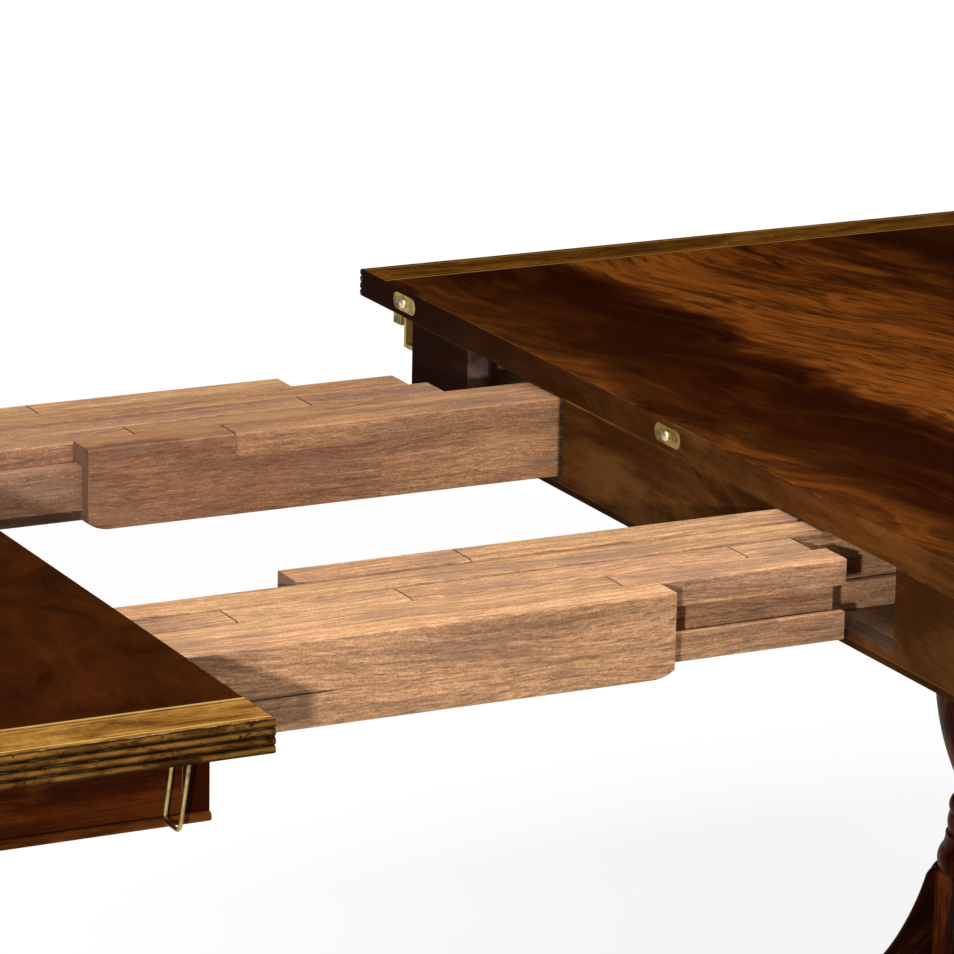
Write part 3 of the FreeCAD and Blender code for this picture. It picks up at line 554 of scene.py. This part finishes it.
def slide_wood(node, seed):
    """Waxed, laminated hardwood with staves of uneven colour."""
    graph = Surface(node + "_wood")
    layers, butts, tones, _ = stave_cuts[node]
    layer = sum(graph.z > height for height in layers)
    below = (float(len(layers)) - layer).least(1.0)
    run = below * -layer_stagger + graph.x
    cell = graph.join(sum(run > butt for butt in butts) + seed, layer, 0.5)
    space = graph.vector("ADD", graph.place, graph.vector("MULTIPLY", cell, (3.7, 3.7, 3.7)))
    lift = graph.noise(space, 2.2, 5.0, seed, 3.0, 0.55) * 0.05
    bent = graph.vector("ADD", space, graph.join(0.0, lift, lift))
    soft = graph.noise(bent, 2.0, 46.0, seed, 3.0, 0.55, 0.4)
    streak = graph.noise(bent, 4.0, 150.0, seed + 5, 4.0, 0.62, 0.3)
    line = graph.noise(bent, 14.0, 430.0, seed + 3, 3.0, 0.7)
    fibre = graph.noise(bent, 60.0, 620.0, seed + 21, 4.0, 0.8)
    speck = graph.noise(space, 520.0, 900.0, seed + 2, 2.0, 0.6)
    cloud = graph.noise(space, 6.0, 17.0, seed + 8, 4.0, 0.6)
    ragged = (line - 0.5) * (below * 0.5 + 0.06) + run
    base = stave_tones[tones[0]]
    for butt, tone in zip(butts, tones[1:]):
        base = graph.mix(ragged > butt, base, stave_tones[tone])
    shade = soft.span(0.34, 0.64, 0.76, 1.14)
    for noise, low, high in ((streak, 0.72, 1.18), (line, 0.8, 1.14), (fibre, 0.64, 1.3),
                             (speck, 0.74, 1.22)):
        shade = shade * noise.span(0.28, 0.72, low, high)
    bent_y, bent_z = graph.split(bent)[1:]
    rings = graph.math("SINE", (bent_y + bent_z) * ring_rate + soft * 9.0)
    colour = base.shaded(shade)
    colour = colour.toward((140, 92, 58), rings.span(0.2, 1.0) * cloud.span(0.42, 0.58, 0.05, 0.42))
    colour = colour.toward((164, 98, 56), streak.span(0.54, 0.72, 0.0, 0.45))
    colour = colour.toward((170, 116, 76), soft.span(0.56, 0.68, 0.0, 0.4))
    colour = colour.toward((156, 122, 104), cloud.span(0.5, 0.66, 0.0, 0.5))
    colour = colour.toward((220, 166, 116), cloud.span(0.46, 0.34, 0.0, 0.35))
    # Darker lines on the side faces: grain lines, and painted shade that darkens the sides.
    flank = abs(graph.facing[1]).span(0.3, 0.8)
    colour = colour.toward((122, 80, 54), flank * line.span(0.42, 0.64, 0.0, 0.45))
    pores = graph.noise(bent, 70.0, 900.0, seed + 12, 3.0, 0.7).span(0.5, 0.7) * (flank * 0.3 + 0.26)
    colour = colour.toward((98, 64, 44), pores)
    fleck = graph.noise(space, 260.0, 620.0, seed + 30, 2.0, 0.5).span(0.62, 0.74)
    colour = colour.toward((236, 200, 148), fleck * cloud.span(0.42, 0.6, 0.0, 0.5))
    fade = graph.noise(space, 7.0, 1.0, seed + 33, 2.0).span(0.45, 0.7, 0.03, 0.45)
    seams = slide_seams(graph, node, run, below, fade)
    colour = colour.toward((62, 38, 24), seams)
    # Fixed slides get painted shade where they enter the right joint apron.
    if node.endswith("_e"):
        colour = entry_shade_and_specks(graph, colour, line, fibre)
    colour = colour.toward((152, 120, 100), abs(graph.facing[0]).span(0.7, 0.95, 0.0, 0.65))
    # Arrises lighter: rubbed wear, and a painted highlight.
    colour = colour.toward((226, 190, 146), graph.rubbed_and_highlit_arris(0.0014) * cloud.span(0.4, 0.6, 0.0, 0.4))
    height = fibre * 0.6 + pores * -1.2 - seams * 2.0
    return graph.finish(colour, cloud * 0.2 + 0.46, height, 0.00016, 0.08)


def entry_shade_and_specks(graph, colour, line, fibre):
    """Painted shade on a fixed slide from just before it enters the right joint apron and on inside it, and
    pale specks just before the entry.
    """
    painted_entry_shade = graph.x.span(half_gap - 0.005, half_gap - 0.001) * line.span(0.3, 0.6, 0.75, 0.95)
    specks = graph.x.band(half_gap - 0.0045, 0.002) * fibre.span(0.56, 0.68, 0.0, 0.6)
    return colour.toward((44, 28, 18), painted_entry_shade).toward((206, 190, 172), specks)


def secondary_wood():
    """Unpolished hardwood under the tops."""
    graph = Surface("secondary_wood")
    value, cloud, pores = figure(graph, graph.place, 61.0)
    colour = graph.ramp(value, ((0.35, (82, 56, 38)), (0.5, (112, 80, 56)), (0.65, (144, 108, 78))))
    colour = colour.toward((70, 44, 28), pores * 0.5)
    return graph.finish(colour, cloud * 0.2 + 0.55, value - pores, 0.00012, 0.2)


# Metals

tarnish_rate = 70.0
scratch_rate = 900.0


def metal(name, base, tarnish, seed, roughness, painted_tip_highlight=False):
    """Old metal, tarnished in patches, brighter along its arrises where it is rubbed and from a painted
    highlight, and with a painted highlight on tips that stand in the gap.
    """
    graph = Surface(name)
    spread = graph.vector("MULTIPLY", graph.place, (tarnish_rate,) * 3)
    patch = graph.noise_at(graph.vector("ADD", spread, (seed,) * 3), 4.0, 0.6)
    fine = graph.noise_at(graph.vector("MULTIPLY", graph.place, (scratch_rate,) * 3), 3.0, 0.6)
    colour = graph.mix(patch.span(0.42, 0.68), base, tarnish)
    # Arrises brighter: rubbed brass, and a painted highlight.
    colour = colour.toward((238, 212, 150), graph.rubbed_and_highlit_arris(0.0006) * 0.6)
    # Painted highlight on the tips that stand in the gap.
    if painted_tip_highlight:
        inward = half_gap - abs(graph.x)
        colour = colour.toward((250, 240, 206), inward.span(0.0008, 0.002, 0.0, 0.9))
    return graph.finish(colour, patch * 0.35 + (roughness - 0.12), patch * 0.6 + fine, 0.00004, 0.5, 1.0)


# Shapes

same_point = 1e-6
smooth_limit = 38
flat_limit = 0.4
arris_limit = 40


def linked(name, data):
    """An object with this data, put in the scene."""
    piece = bpy.data.objects.new(name, data)
    bpy.context.scene.collection.objects.link(piece)
    return piece


def body_of_node(node):
    """The body that a node of the frame belongs to."""
    for body, members in frame["record"]["behaviour"]["bodies"].items():
        if node in members:
            return body


def new_piece(name, mesh, material, node):
    """Adds a mesh as a piece that stands for a node and rides on its body."""
    piece = linked(name, mesh)
    mesh.materials.clear()
    mesh.materials.append(material)
    for polygon in mesh.polygons:
        polygon.use_smooth = True
    mesh.set_sharp_from_angle(angle=radians(smooth_limit))
    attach(piece, body_of_node(node))
    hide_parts(node)
    weight = piece.modifiers.new("even_normals", "WEIGHTED_NORMAL")
    weight.keep_sharp = True
    return piece


def dressed(node, material, bevel, segments=2, shortest=0.004):
    """A copy of a node's mesh with its long arrises eased, which stands for the node."""
    mesh = frame["nodes"][node].data.copy()
    mesh.name = node + "_dressed"
    for name in ("custom_normal", "sharp_face", "sharp_edge"):
        if name in mesh.attributes:
            mesh.attributes.remove(mesh.attributes[name])
    work = bmesh.new()
    work.from_mesh(mesh)
    bmesh.ops.remove_doubles(work, verts=work.verts, dist=same_point)
    bmesh.ops.dissolve_limit(work, angle_limit=radians(flat_limit), verts=work.verts, edges=work.edges)
    arrises = [e for e in work.edges if e.is_manifold and e.calc_length() > shortest
               and e.calc_face_angle(0.0) > radians(arris_limit)]
    bmesh.ops.bevel(work, geom=arrises, offset=bevel, segments=segments, profile=0.6,
                    affect="EDGES", clamp_overlap=True)
    bmesh.ops.triangulate(work, faces=[f for f in work.faces if len(f.verts) > 4])
    work.to_mesh(mesh)
    work.free()
    return new_piece("dressed_" + node, mesh, material, node)


def face_the_joint(panel, material):
    """Gives the panel's faces at the joint, and in its sockets, their own finish."""
    mesh = panel.data
    mesh.materials.append(material)
    for polygon in mesh.polygons:
        inset = abs(polygon.center.x) - half_gap
        if inset < lipping_depth and abs(polygon.normal.z) < 0.3:
            polygon.material_index = 1


def arc_points(start, middle, end, count):
    """Points on the arc through three points in a plane, without the first one."""
    ax, ay = start
    bx, by = middle
    cx, cy = end
    turn = 2 * (ax * (by - cy) + bx * (cy - ay) + cx * (ay - by))
    a2, b2, c2 = ax**2 + ay**2, bx**2 + by**2, cx**2 + cy**2
    ux = (a2 * (by - cy) + b2 * (cy - ay) + c2 * (ay - by)) / turn
    uy = (a2 * (cx - bx) + b2 * (ax - cx) + c2 * (bx - ax)) / turn
    radius = hypot(ax - ux, ay - uy)
    first, mid, last = [atan2(y - uy, x - ux) for x, y in (start, middle, end)]
    sweep = (last - first) % tau
    if (mid - first) % tau > sweep:
        sweep -= tau
    angles = [first + sweep * (i + 1) / count for i in range(count)]
    return [(ux + radius * cos(a), uy + radius * sin(a)) for a in angles]


def skin(rings, caps=True):
    """A bmesh through closed rings of as many points each."""
    work = bmesh.new()
    rows = [[work.verts.new(p) for p in ring] for ring in rings]
    count = len(rows[0])
    for low, high in zip(rows, rows[1:]):
        for i in range(count):
            j = (i + 1) % count
            work.faces.new((low[i], low[j], high[j], high[i]))
    if caps:
        work.faces.new(list(reversed(rows[0])))
        work.faces.new(rows[-1])
        bmesh.ops.recalc_face_normals(work, faces=work.faces)
    return work


def to_mesh(work, name):
    """The bmesh as a mesh of its own."""
    mesh = bpy.data.meshes.new(name)
    work.to_mesh(mesh)
    work.free()
    return mesh


def shaped(name, work, material, node):
    """Adds a bmesh as a piece that stands for a node."""
    new_piece(name, to_mesh(work, name), material, node)


def circle(radius, centre_x, z, count, first=0.0):
    """A level ring of points round an upright axis."""
    angles = [first + tau * k / count for k in range(count)]
    return [Vector((centre_x + radius * cos(a), radius * sin(a), z)) for a in angles]


def moulding(section, sign):
    """A section swept round the two sides and the end of a half, mitred."""
    (edge_y, end_x), points = section
    rings = []
    for corner in range(4):
        ring = []
        for inset, z in points:
            y = (edge_y - inset) * (-1 if corner < 2 else 1)
            x = half_gap if corner in (0, 3) else end_x - inset
            ring.append(Vector((sign * x, sign * y, z)))
        rings.append(ring)
    return skin(rings)


def half_round(depth, radius, centre, steps):
    """Points down a half round, as (inset, height)."""
    angles = [pi / 2 - pi * i / steps for i in range(steps + 1)]
    return [(depth - depth * cos(a), centre + radius * sin(a)) for a in angles]


def lipping_section():
    """Outer edge (across, along) and section points of the reeded lipping."""
    radius = (table_height - underside) / (2 * reed_count)
    points = []
    for reed in range(reed_count):
        points = points[:-1] + half_round(radius, radius, table_height - radius * (2 * reed + 1), 10)
    points += [(lipping_depth, underside), (lipping_depth, table_height)]
    return (half_width, table_end), points


def bead_section():
    """Outer edge (across, along) and section points of the half round bead."""
    low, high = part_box("right_apron_bead")
    radius = (high.z - low.z) / 2
    return (high.y, high.x), half_round(high.y - apron_half_width, radius, low.z + radius, 12)


# Column outline as in the part: heights and radii as shares of the shaft's height and widest radius
column_outline_shares = (
    ((0.0, 0.78),),
    ((0.035, 0.85), (0.07, 0.775)),
    ((0.085, 0.745), (0.105, 0.735)),
    ((0.112, 0.69),),
    ((0.135, 0.715), (0.158, 0.69)),
    ((0.165, 0.675),),
    ((0.182, 0.70), (0.2, 0.66)),
    ((0.215, 0.575), (0.238, 0.56)),
    ((0.375, 0.855), (0.60, 1.0)),
    ((0.755, 0.90), (0.825, 0.62)),
    ((0.833, 0.70),),
    ((0.85, 0.735), (0.867, 0.70)),
    ((0.885, 0.62), (0.91, 0.66)),
    ((0.918, 0.80),),
    ((0.945, 0.865), (0.97, 0.82)),
    ((0.975, 0.92),),
    ((1.0, 0.92),),
)
column_radius = 0.059
hub_top = 0.311
hub_bottom = 0.182
hub_sides = 8
hub_flat_radius = 0.046
hub_arris = 0.001
hub_foot_radius = 0.030
hub_foot_drop = 0.012
hub_foot_rim = 0.0004
plate_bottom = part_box("right_pedestal_plate")[0].z


def lathe(outline, centre_x, segments=96):
    """Turned shape from (radius, height) points, closed at both ends."""
    return skin([circle(radius, centre_x, z, segments) for radius, z in outline])


def column_outline():
    """Outline of the shaft from the hub to the plate, as (radius, height)."""
    height = plate_bottom - hub_top

    def at(share):
        return (share[1] * column_radius, hub_top + share[0] * height)

    points = [at(column_outline_shares[0][0])]
    for entry in column_outline_shares[1:]:
        if len(entry) == 1:
            points.append(at(entry[0]))
        else:
            points += arc_points(points[-1], at(entry[0]), at(entry[1]), 14)
    return points


def hub(centre_x):
    """Eight sided block with eased arrises, and its turned foot."""
    half_side = pi / hub_sides
    corner = hub_flat_radius / cos(half_side)
    work = skin([circle(corner, centre_x, z, hub_sides, half_side) for z in (hub_bottom, hub_top)])
    bmesh.ops.bevel(work, geom=list(work.edges), offset=hub_arris, segments=2, profile=0.6, affect="EDGES")
    foot_top = hub_flat_radius - hub_arris
    foot = lathe([(hub_foot_radius, hub_bottom - hub_foot_drop), (foot_top, hub_bottom - hub_foot_rim),
                  (foot_top, hub_bottom)], centre_x)
    work.from_mesh(to_mesh(foot, "foot"))
    return work


# Sabre legs as in the part, with two broad reeds along the top. Outline points are (out, height).
leg_count = 4
leg_first_angle = 45.0
leg_half_thickness = 0.0185
toe_half_thickness = 0.0150
leg_bend = (0.0553, 0.309)
leg_shoulder = (0.058, 0.303)
leg_knee = (0.093, 0.2245)
leg_root = (0.046, 0.192)
leg_arch = (0.150, 0.107)
toe_start = 0.335
toe_end = 0.396
toe_top = 0.088
toe_underside = 0.054
leg_lower_ease = 0.001
leg_steps = 44
leg_steps_across = 24

# Profile across the leg's top: groove in the middle, reeds and round edges, with places from 0 to 1
groove_depth = 0.0028
groove_reach = 0.14
reed_crown = 0.0012
reed_place = 0.55
edge_round = 0.003
edge_start = 0.86


def reed_profile(share):
    """Drop of the leg's top below its outline, across the leg from -1 to 1."""
    across = abs(share)
    groove = groove_depth * max(0.0, 1 - across / groove_reach)
    crown = reed_crown * (2 * abs(across - reed_place)) ** 2
    shoulder = edge_round * max(0.0, (across - edge_start) / (1 - edge_start)) ** 2
    return groove + crown + shoulder


def leg_stations():
    """Upper and lower outline points and half thicknesses along the leg, from the hub to the toe."""
    start = (leg_root[0], hub_top)
    upper = [start] + arc_points(start, leg_bend, leg_shoulder, 6)
    upper += arc_points(leg_shoulder, leg_knee, (toe_start, toe_top), leg_steps)
    upper.append((toe_end, toe_top))
    lower = [leg_root] + arc_points(leg_root, leg_arch, (toe_start, toe_underside), len(upper) - 2)
    lower.append((toe_end, toe_underside))
    stations = []
    for top, bottom in zip(upper, lower):
        share = min(1.0, max(0.0, (top[0] - leg_root[0]) / (toe_start - leg_root[0])))
        stations.append((top, bottom, leg_half_thickness + share * (toe_half_thickness - leg_half_thickness)))
    return stations


def leg(centre_x, angle):
    """One leg: sections set across it from the hub to the toe."""
    turn = Matrix.Translation((centre_x, 0, 0)) @ Matrix.Rotation(angle, 4, "Z")
    shares = [-1 + 2 * i / leg_steps_across for i in range(leg_steps_across + 1)]
    rings = []
    for (top_out, top_z), (out, z), half in leg_stations():
        start = Vector((top_out, 0, top_z))
        up = (start - Vector((out, 0, z))).normalized()
        inner = half - leg_lower_ease
        ring = [Vector((out, -inner, z)), Vector((out, -half, z + leg_lower_ease))]
        ring += [start + Vector((0, share * half, 0)) - up * reed_profile(share) for share in shares]
        ring += [Vector((out, half, z + leg_lower_ease)), Vector((out, inner, z))]
        rings.append([turn @ p for p in ring])
    return skin(rings)


# Bails: round wire with inturned ends, hung in their brackets
bail_wire_radius = 0.0016
bail_half_spacing = 0.014
bail_length = 0.0675
bail_corner = 0.006
bail_pin_inner = 0.006
bail_pivot_offset = 0.035
bail_pivot_height = underside - 0.007
bail_lean = 8.0
clip_centre = apron_half_width + 0.032


def bail_path():
    """Right hand half of the wire's line, from the pin to the middle of the loop, as (across, up)."""
    bend = 2 * bail_wire_radius
    half = bail_half_spacing
    low = -bail_length
    slant = sin(pi / 4)
    points = [(bail_pin_inner, 0.0), (half - bend, 0.0)]
    middle = (half - bend + bend * slant, -bend + bend * slant)
    points += arc_points(points[-1], middle, (half, -bend), 6)
    points.append((half, low + bail_corner))
    middle = (half - bail_corner * (1 - slant), low + bail_corner * (1 - slant))
    points += arc_points(points[-1], middle, (half - bail_corner, low), 8)
    return points


def wire(points, radius, segments=18):
    """Round wire along points in one plane."""
    side = Vector((1, 0, 0))
    rings = []
    for i, point in enumerate(points):
        before = points[max(i - 1, 0)]
        after = points[min(i + 1, len(points) - 1)]
        third = (after - before).normalized().cross(side).normalized()
        angles = [tau * k / segments for k in range(segments)]
        rings.append([point + side * (radius * cos(a)) + third * (radius * sin(a)) for a in angles])
    return skin(rings)


def bail(sign):
    """A bail's wire, hanging with its lean from the left half."""
    path = bail_path()
    whole = path + [(-y, z) for y, z in reversed(path)]
    turn = Matrix.Rotation(radians(bail_lean), 4, "Y")
    place = Vector((-half_gap - bail_pivot_offset, sign * clip_centre, bail_pivot_height))
    points = [place + turn @ Vector((0, y, z)) for y, z in whole]
    return wire(points, bail_wire_radius)


# Screws: countersunk heads with a straight slot. Shares are of the head's radius.
head_face_share = 0.97
head_edge_drop = 0.00012
slot_half_width_share = 0.2
slot_depth_share = 0.35
point_start_share = 0.9
point_radius_share = 0.2


def screw_islands(node):
    """Lowest and highest corner of each screw in a node, in order of place."""
    work = bmesh.new()
    work.from_mesh(frame["nodes"][node].data)
    bmesh.ops.remove_doubles(work, verts=work.verts, dist=same_point)
    left = set(work.verts)
    boxes = []
    while left:
        front = [left.pop()]
        island = list(front)
        while front:
            for edge in front.pop().link_edges:
                for vert in edge.verts:
                    if vert in left:
                        left.remove(vert)
                        front.append(vert)
                        island.append(vert)
        low = Vector([min(v.co[k] for v in island) for k in range(3)])
        high = Vector([max(v.co[k] for v in island) for k in range(3)])
        boxes.append((low, high))
    work.free()
    return sorted(boxes, key=lambda corners: tuple(corners[0]))


def screw(length, radius, head_radius, slot_turn):
    """A screw along +Z with its slotted head at the origin, as a bmesh."""
    face_radius = head_radius * head_face_share
    outline = [(face_radius, 0.0), (head_radius, head_edge_drop), (radius, head_radius - radius),
               (radius, length * point_start_share), (radius * point_radius_share, length)]
    work = lathe(outline, 0.0, 24)
    width = head_radius * slot_half_width_share
    sink = head_radius * slot_depth_share
    head = [f for f in work.faces if all(abs(v.co.z) < 1e-9 for v in f.verts)]
    bmesh.ops.delete(work, geom=head, context="FACES_ONLY")
    rim = sorted((v for v in work.verts if abs(v.co.z) < 1e-9), key=lambda v: v.co.x)
    reach = sqrt(face_radius**2 - width**2)
    floor_corners = []
    for sign in (1, -1):
        side = [v for v in rim if sign * v.co.y > width]
        ends = [work.verts.new((s * reach, sign * width, 0.0)) for s in (-1, 1)]
        work.faces.new([ends[0]] + side + [ends[1]])
        base = [work.verts.new((s * reach, sign * width, sink)) for s in (-1, 1)]
        work.faces.new([ends[0], ends[1], base[1], base[0]])
        floor_corners.append(base)
    upper, lower = floor_corners
    work.faces.new([upper[0], upper[1], lower[1], lower[0]])
    work.transform(Matrix.Rotation(slot_turn, 4, "Z"))
    return work


def screws(node):
    """All screws of a half, each where its plain solid is."""
    chance = random.Random(node)
    whole = bmesh.new()
    for low, high in screw_islands(node):
        size = high - low
        centre = (low + high) / 2
        if size.x > size.z:
            outward = -1 if centre.x < 0 else 1
            start = Vector((outward * half_gap, centre.y, centre.z))
            turn = Matrix.Rotation(outward * pi / 2, 4, "Y")
            length, head_radius = size.x, size.y / 2
        else:
            start = Vector((centre.x, centre.y, low.z))
            turn = Matrix.Identity(4)
            length, head_radius = size.z, max(size.x, size.y) / 2
        piece = screw(length, head_radius / 2, head_radius, chance.uniform(0, pi))
        piece.transform(Matrix.Translation(start) @ turn)
        part = to_mesh(piece, "screw")
        whole.from_mesh(part)
        bpy.data.meshes.remove(part)
    bmesh.ops.recalc_face_normals(whole, faces=whole.faces)
    return whole


# Stain and polish of each turned or planed part, from dark to light
apron_tones = ((36, 10, 1), (64, 24, 4), (104, 50, 13))
bead_tones = ((26, 8, 2), (72, 32, 9), (150, 86, 30))
turned_tones = ((34, 9, 2), (86, 33, 8), (164, 80, 24))
# The legs' tones are darker than the column's, as painted shade.
leg_tones_with_painted_shade = ((18, 5, 1), (38, 13, 3), (108, 54, 16))

materials = {
    "side_apron": polished_wood("side_apron_wood", "x", 3.0, apron_tones, raw_inside_side, seam=bead_top),
    "end_apron": polished_wood("end_apron_wood", "y", 9.0, apron_tones, raw_inside_end, seam=bead_top),
    "joint_apron": joint_wood("joint_apron_wood", 5.0, True),
    "joint_face": joint_wood("joint_face_wood", 35.0, False),
    "bead": polished_wood("bead_wood", "x", 15.0, bead_tones),
    "column": polished_wood("column_wood", "z", 19.0, turned_tones, specular=0.015, arris_share=0.3,
                            rubbed_and_highlit_arris_tone=(150, 84, 34)),
    # The legs: tones darkened as painted shade, and wide arrises lighter from rubbed wear and a painted
    # highlight.
    "leg": polished_wood("leg_wood", "leg", 23.0, leg_tones_with_painted_shade, roughness=0.4, specular=0.012, arris_share=0.6,
                         rubbed_and_highlit_arris_tone=(132, 74, 26), arris=0.005),
    "left_lipping": lipping_wood("left"),
    "right_lipping": lipping_wood("right"),
    "left_veneer": veneer("left", 51.0),
    "right_veneer": veneer("right", 77.0),
    "secondary": secondary_wood(),
    "brass": metal("aged_brass", (206, 180, 108), (134, 110, 60), 1.0, 0.5, painted_tip_highlight=True),
    "bail": metal("bail_brass", (172, 152, 98), (112, 94, 54), 5.0, 0.4),
    "castor": metal("castor_brass", (196, 164, 100), (120, 96, 54), 7.0, 0.38),
    "steel": metal("screw_steel", (150, 140, 120), (92, 80, 62), 13.0, 0.4),
}

# Width of the eased arrises
panel_arris = 0.0005
plank_arris = 0.0008
slide_arris = 0.0007
castor_arris = 0.0004
brass_arris = 0.0003
shortest_brass_arris = 0.002

# The two halves
for side, sign in (("left", -1), ("right", 1)):
    panel = dressed(side + "_top_panel", materials[side + "_veneer"], panel_arris)
    face_the_joint(panel, materials["joint_face"])
    shaped(side + "_lipping", moulding(lipping_section(), sign), materials[side + "_lipping"],
           side + "_reeded_edge")
    for word, material in (("joint", "joint_apron"), ("near", "side_apron"), ("far", "side_apron"),
                           ("end", "end_apron")):
        dressed(side + "_" + word + "_apron", materials[material], plank_arris)
    shaped(side + "_bead", moulding(bead_section(), sign), materials["bead"],
           side + "_apron_bead")
    for word in ("corner_blocks", "battens", "pedestal_plate"):
        dressed(side + "_" + word, materials["secondary"], plank_arris)
    axis = sign * column_axis_x
    for word, work in (("_turned_shaft", lathe(column_outline(), axis)), ("_hub", hub(axis))):
        shaped(side + word, work, materials["column"], side + "_column")
    for k in range(leg_count):
        angle = radians(leg_first_angle + k * 360 / leg_count)
        number = str(k + 1)
        shaped(side + "_leg_" + number, leg(axis, angle), materials["leg"],
               side + "_legs")
        dressed(side + "_castor_fork_" + number, materials["castor"], castor_arris)
        dressed(side + "_castor_wheel_" + number, materials["castor"], castor_arris)
    dressed(side + "_toe_caps", materials["brass"], plank_arris, 3)
    shaped(side + "_slotted_screws", screws(side + "_fixing_screws"), materials["steel"],
           side + "_fixing_screws")

# Slides, and the brass on both halves
for index, node in enumerate(stave_cuts):
    dressed(node, slide_wood(node, 5.0 + 11.0 * index), slide_arris)
for node in ("leaf_tongues", "leaf_sockets", "bail_brackets", "keepers"):
    dressed(node, materials["brass"], brass_arris, 2, shortest_brass_arris)
for node, sign in (("near_bail", -1), ("far_bail", 1)):
    shaped(node + "_wire", bail(sign), materials["bail"], node)

# Studio: white floor, soft light, dark cloths and the camera
white = (1, 1, 1, 1)
floor_reach = 70.0
floor_grey = (0.35, 0.35, 0.35, 1)
floor_glow = (1.5, 4.5, 0.84, 1.0)
world_strength = 0.15
cloth_tone = (16, 12, 10)
cloth_radius = 9.0
cloth_heights = (0.4, 16.0)
cloth_sides = 48

# Place, target, size and power of each light
lights = {
    "key": ((-1.75, -3.0, 1.43), (0.0, -0.3, 0.7), (0.09, 0.09), 58.0),
    "overhead": ((0.3, -0.75, 2.75), (0.3, -0.25, 0.7), (3.0, 0.8), 54.0),
}


def floor():
    """A wide white floor that keeps a soft shadow of the table."""
    mesh = bpy.data.meshes.new("floor")
    corners = [(x * floor_reach, y * floor_reach, 0) for x, y in ((-1, -1), (1, -1), (1, 1), (-1, 1))]
    mesh.from_pydata(corners, [], [(0, 1, 2, 3)])
    graph = Surface("floor_white")
    glow = graph.vector("LENGTH", graph.place).span(*floor_glow)
    graph.plug(graph.shader.inputs["Emission Strength"], graph.seen_rays() * glow)
    graph.shader.inputs["Emission Color"].default_value = white
    mesh.materials.append(graph.finish(floor_grey, 0.9))
    linked("floor", mesh)


def world():
    """White behind the table, and a weaker even light on it."""
    studio = bpy.data.worlds.new("studio")
    bpy.context.scene.world = studio
    graph = Graph(studio, "Background")
    level = graph.seen_rays().span(0.0, 1.0, world_strength, 1.0)
    graph.plug(graph.shader.inputs["Strength"], level)
    graph.shader.inputs["Color"].default_value = white


def dark_cloths():
    """Dark cloths round the set, seen only in reflections, that keep the polish from washing out."""
    rings = [circle(cloth_radius, 0.0, z, cloth_sides) for z in cloth_heights]
    mesh = to_mesh(skin(rings, caps=False), "dark_cloths")
    mesh.materials.append(Surface("dark_cloth").finish(srgb(*cloth_tone), 0.9))
    piece = linked("dark_cloths", mesh)
    for rays in ("camera", "diffuse", "shadow", "transmission"):
        setattr(piece, "visible_" + rays, False)


def area_light(name, place, target, size, power):
    """A light that shines at the target and isn't seen itself."""
    data = bpy.data.lights.new(name, "AREA")
    data.shape = "RECTANGLE"
    data.size, data.size_y = size
    data.energy = power
    lamp = linked(name, data)
    lamp.location = place
    lamp.rotation_euler = (Vector(target) - Vector(place)).to_track_quat("-Z", "Y").to_euler()
    lamp.visible_camera = False


def camera():
    """The camera that took the photo."""
    yaw, pitch, roll = [radians(a) for a in (camera_yaw, camera_pitch, camera_roll)]
    ahead = Vector((sin(yaw) * cos(pitch), cos(yaw) * cos(pitch), -sin(pitch)))
    right = Vector((cos(yaw), -sin(yaw), 0))
    up = right.cross(ahead)
    turned_right = right * cos(roll) + up * sin(roll)
    turned_up = up * cos(roll) - right * sin(roll)
    data = bpy.data.cameras.new("camera")
    data.sensor_width = sensor_width
    data.lens = camera_focal * sensor_width
    data.clip_end = 100.0
    piece = linked("camera", data)
    turn = Matrix((turned_right, turned_up, -ahead)).transposed()
    piece.matrix_world = Matrix.Translation(camera_place) @ turn.to_4x4()
    bpy.context.scene.camera = piece


floor()
world()
dark_cloths()
for name, light in lights.items():
    area_light(name, *light)
camera()
bpy.context.scene.view_settings.view_transform = "Standard"
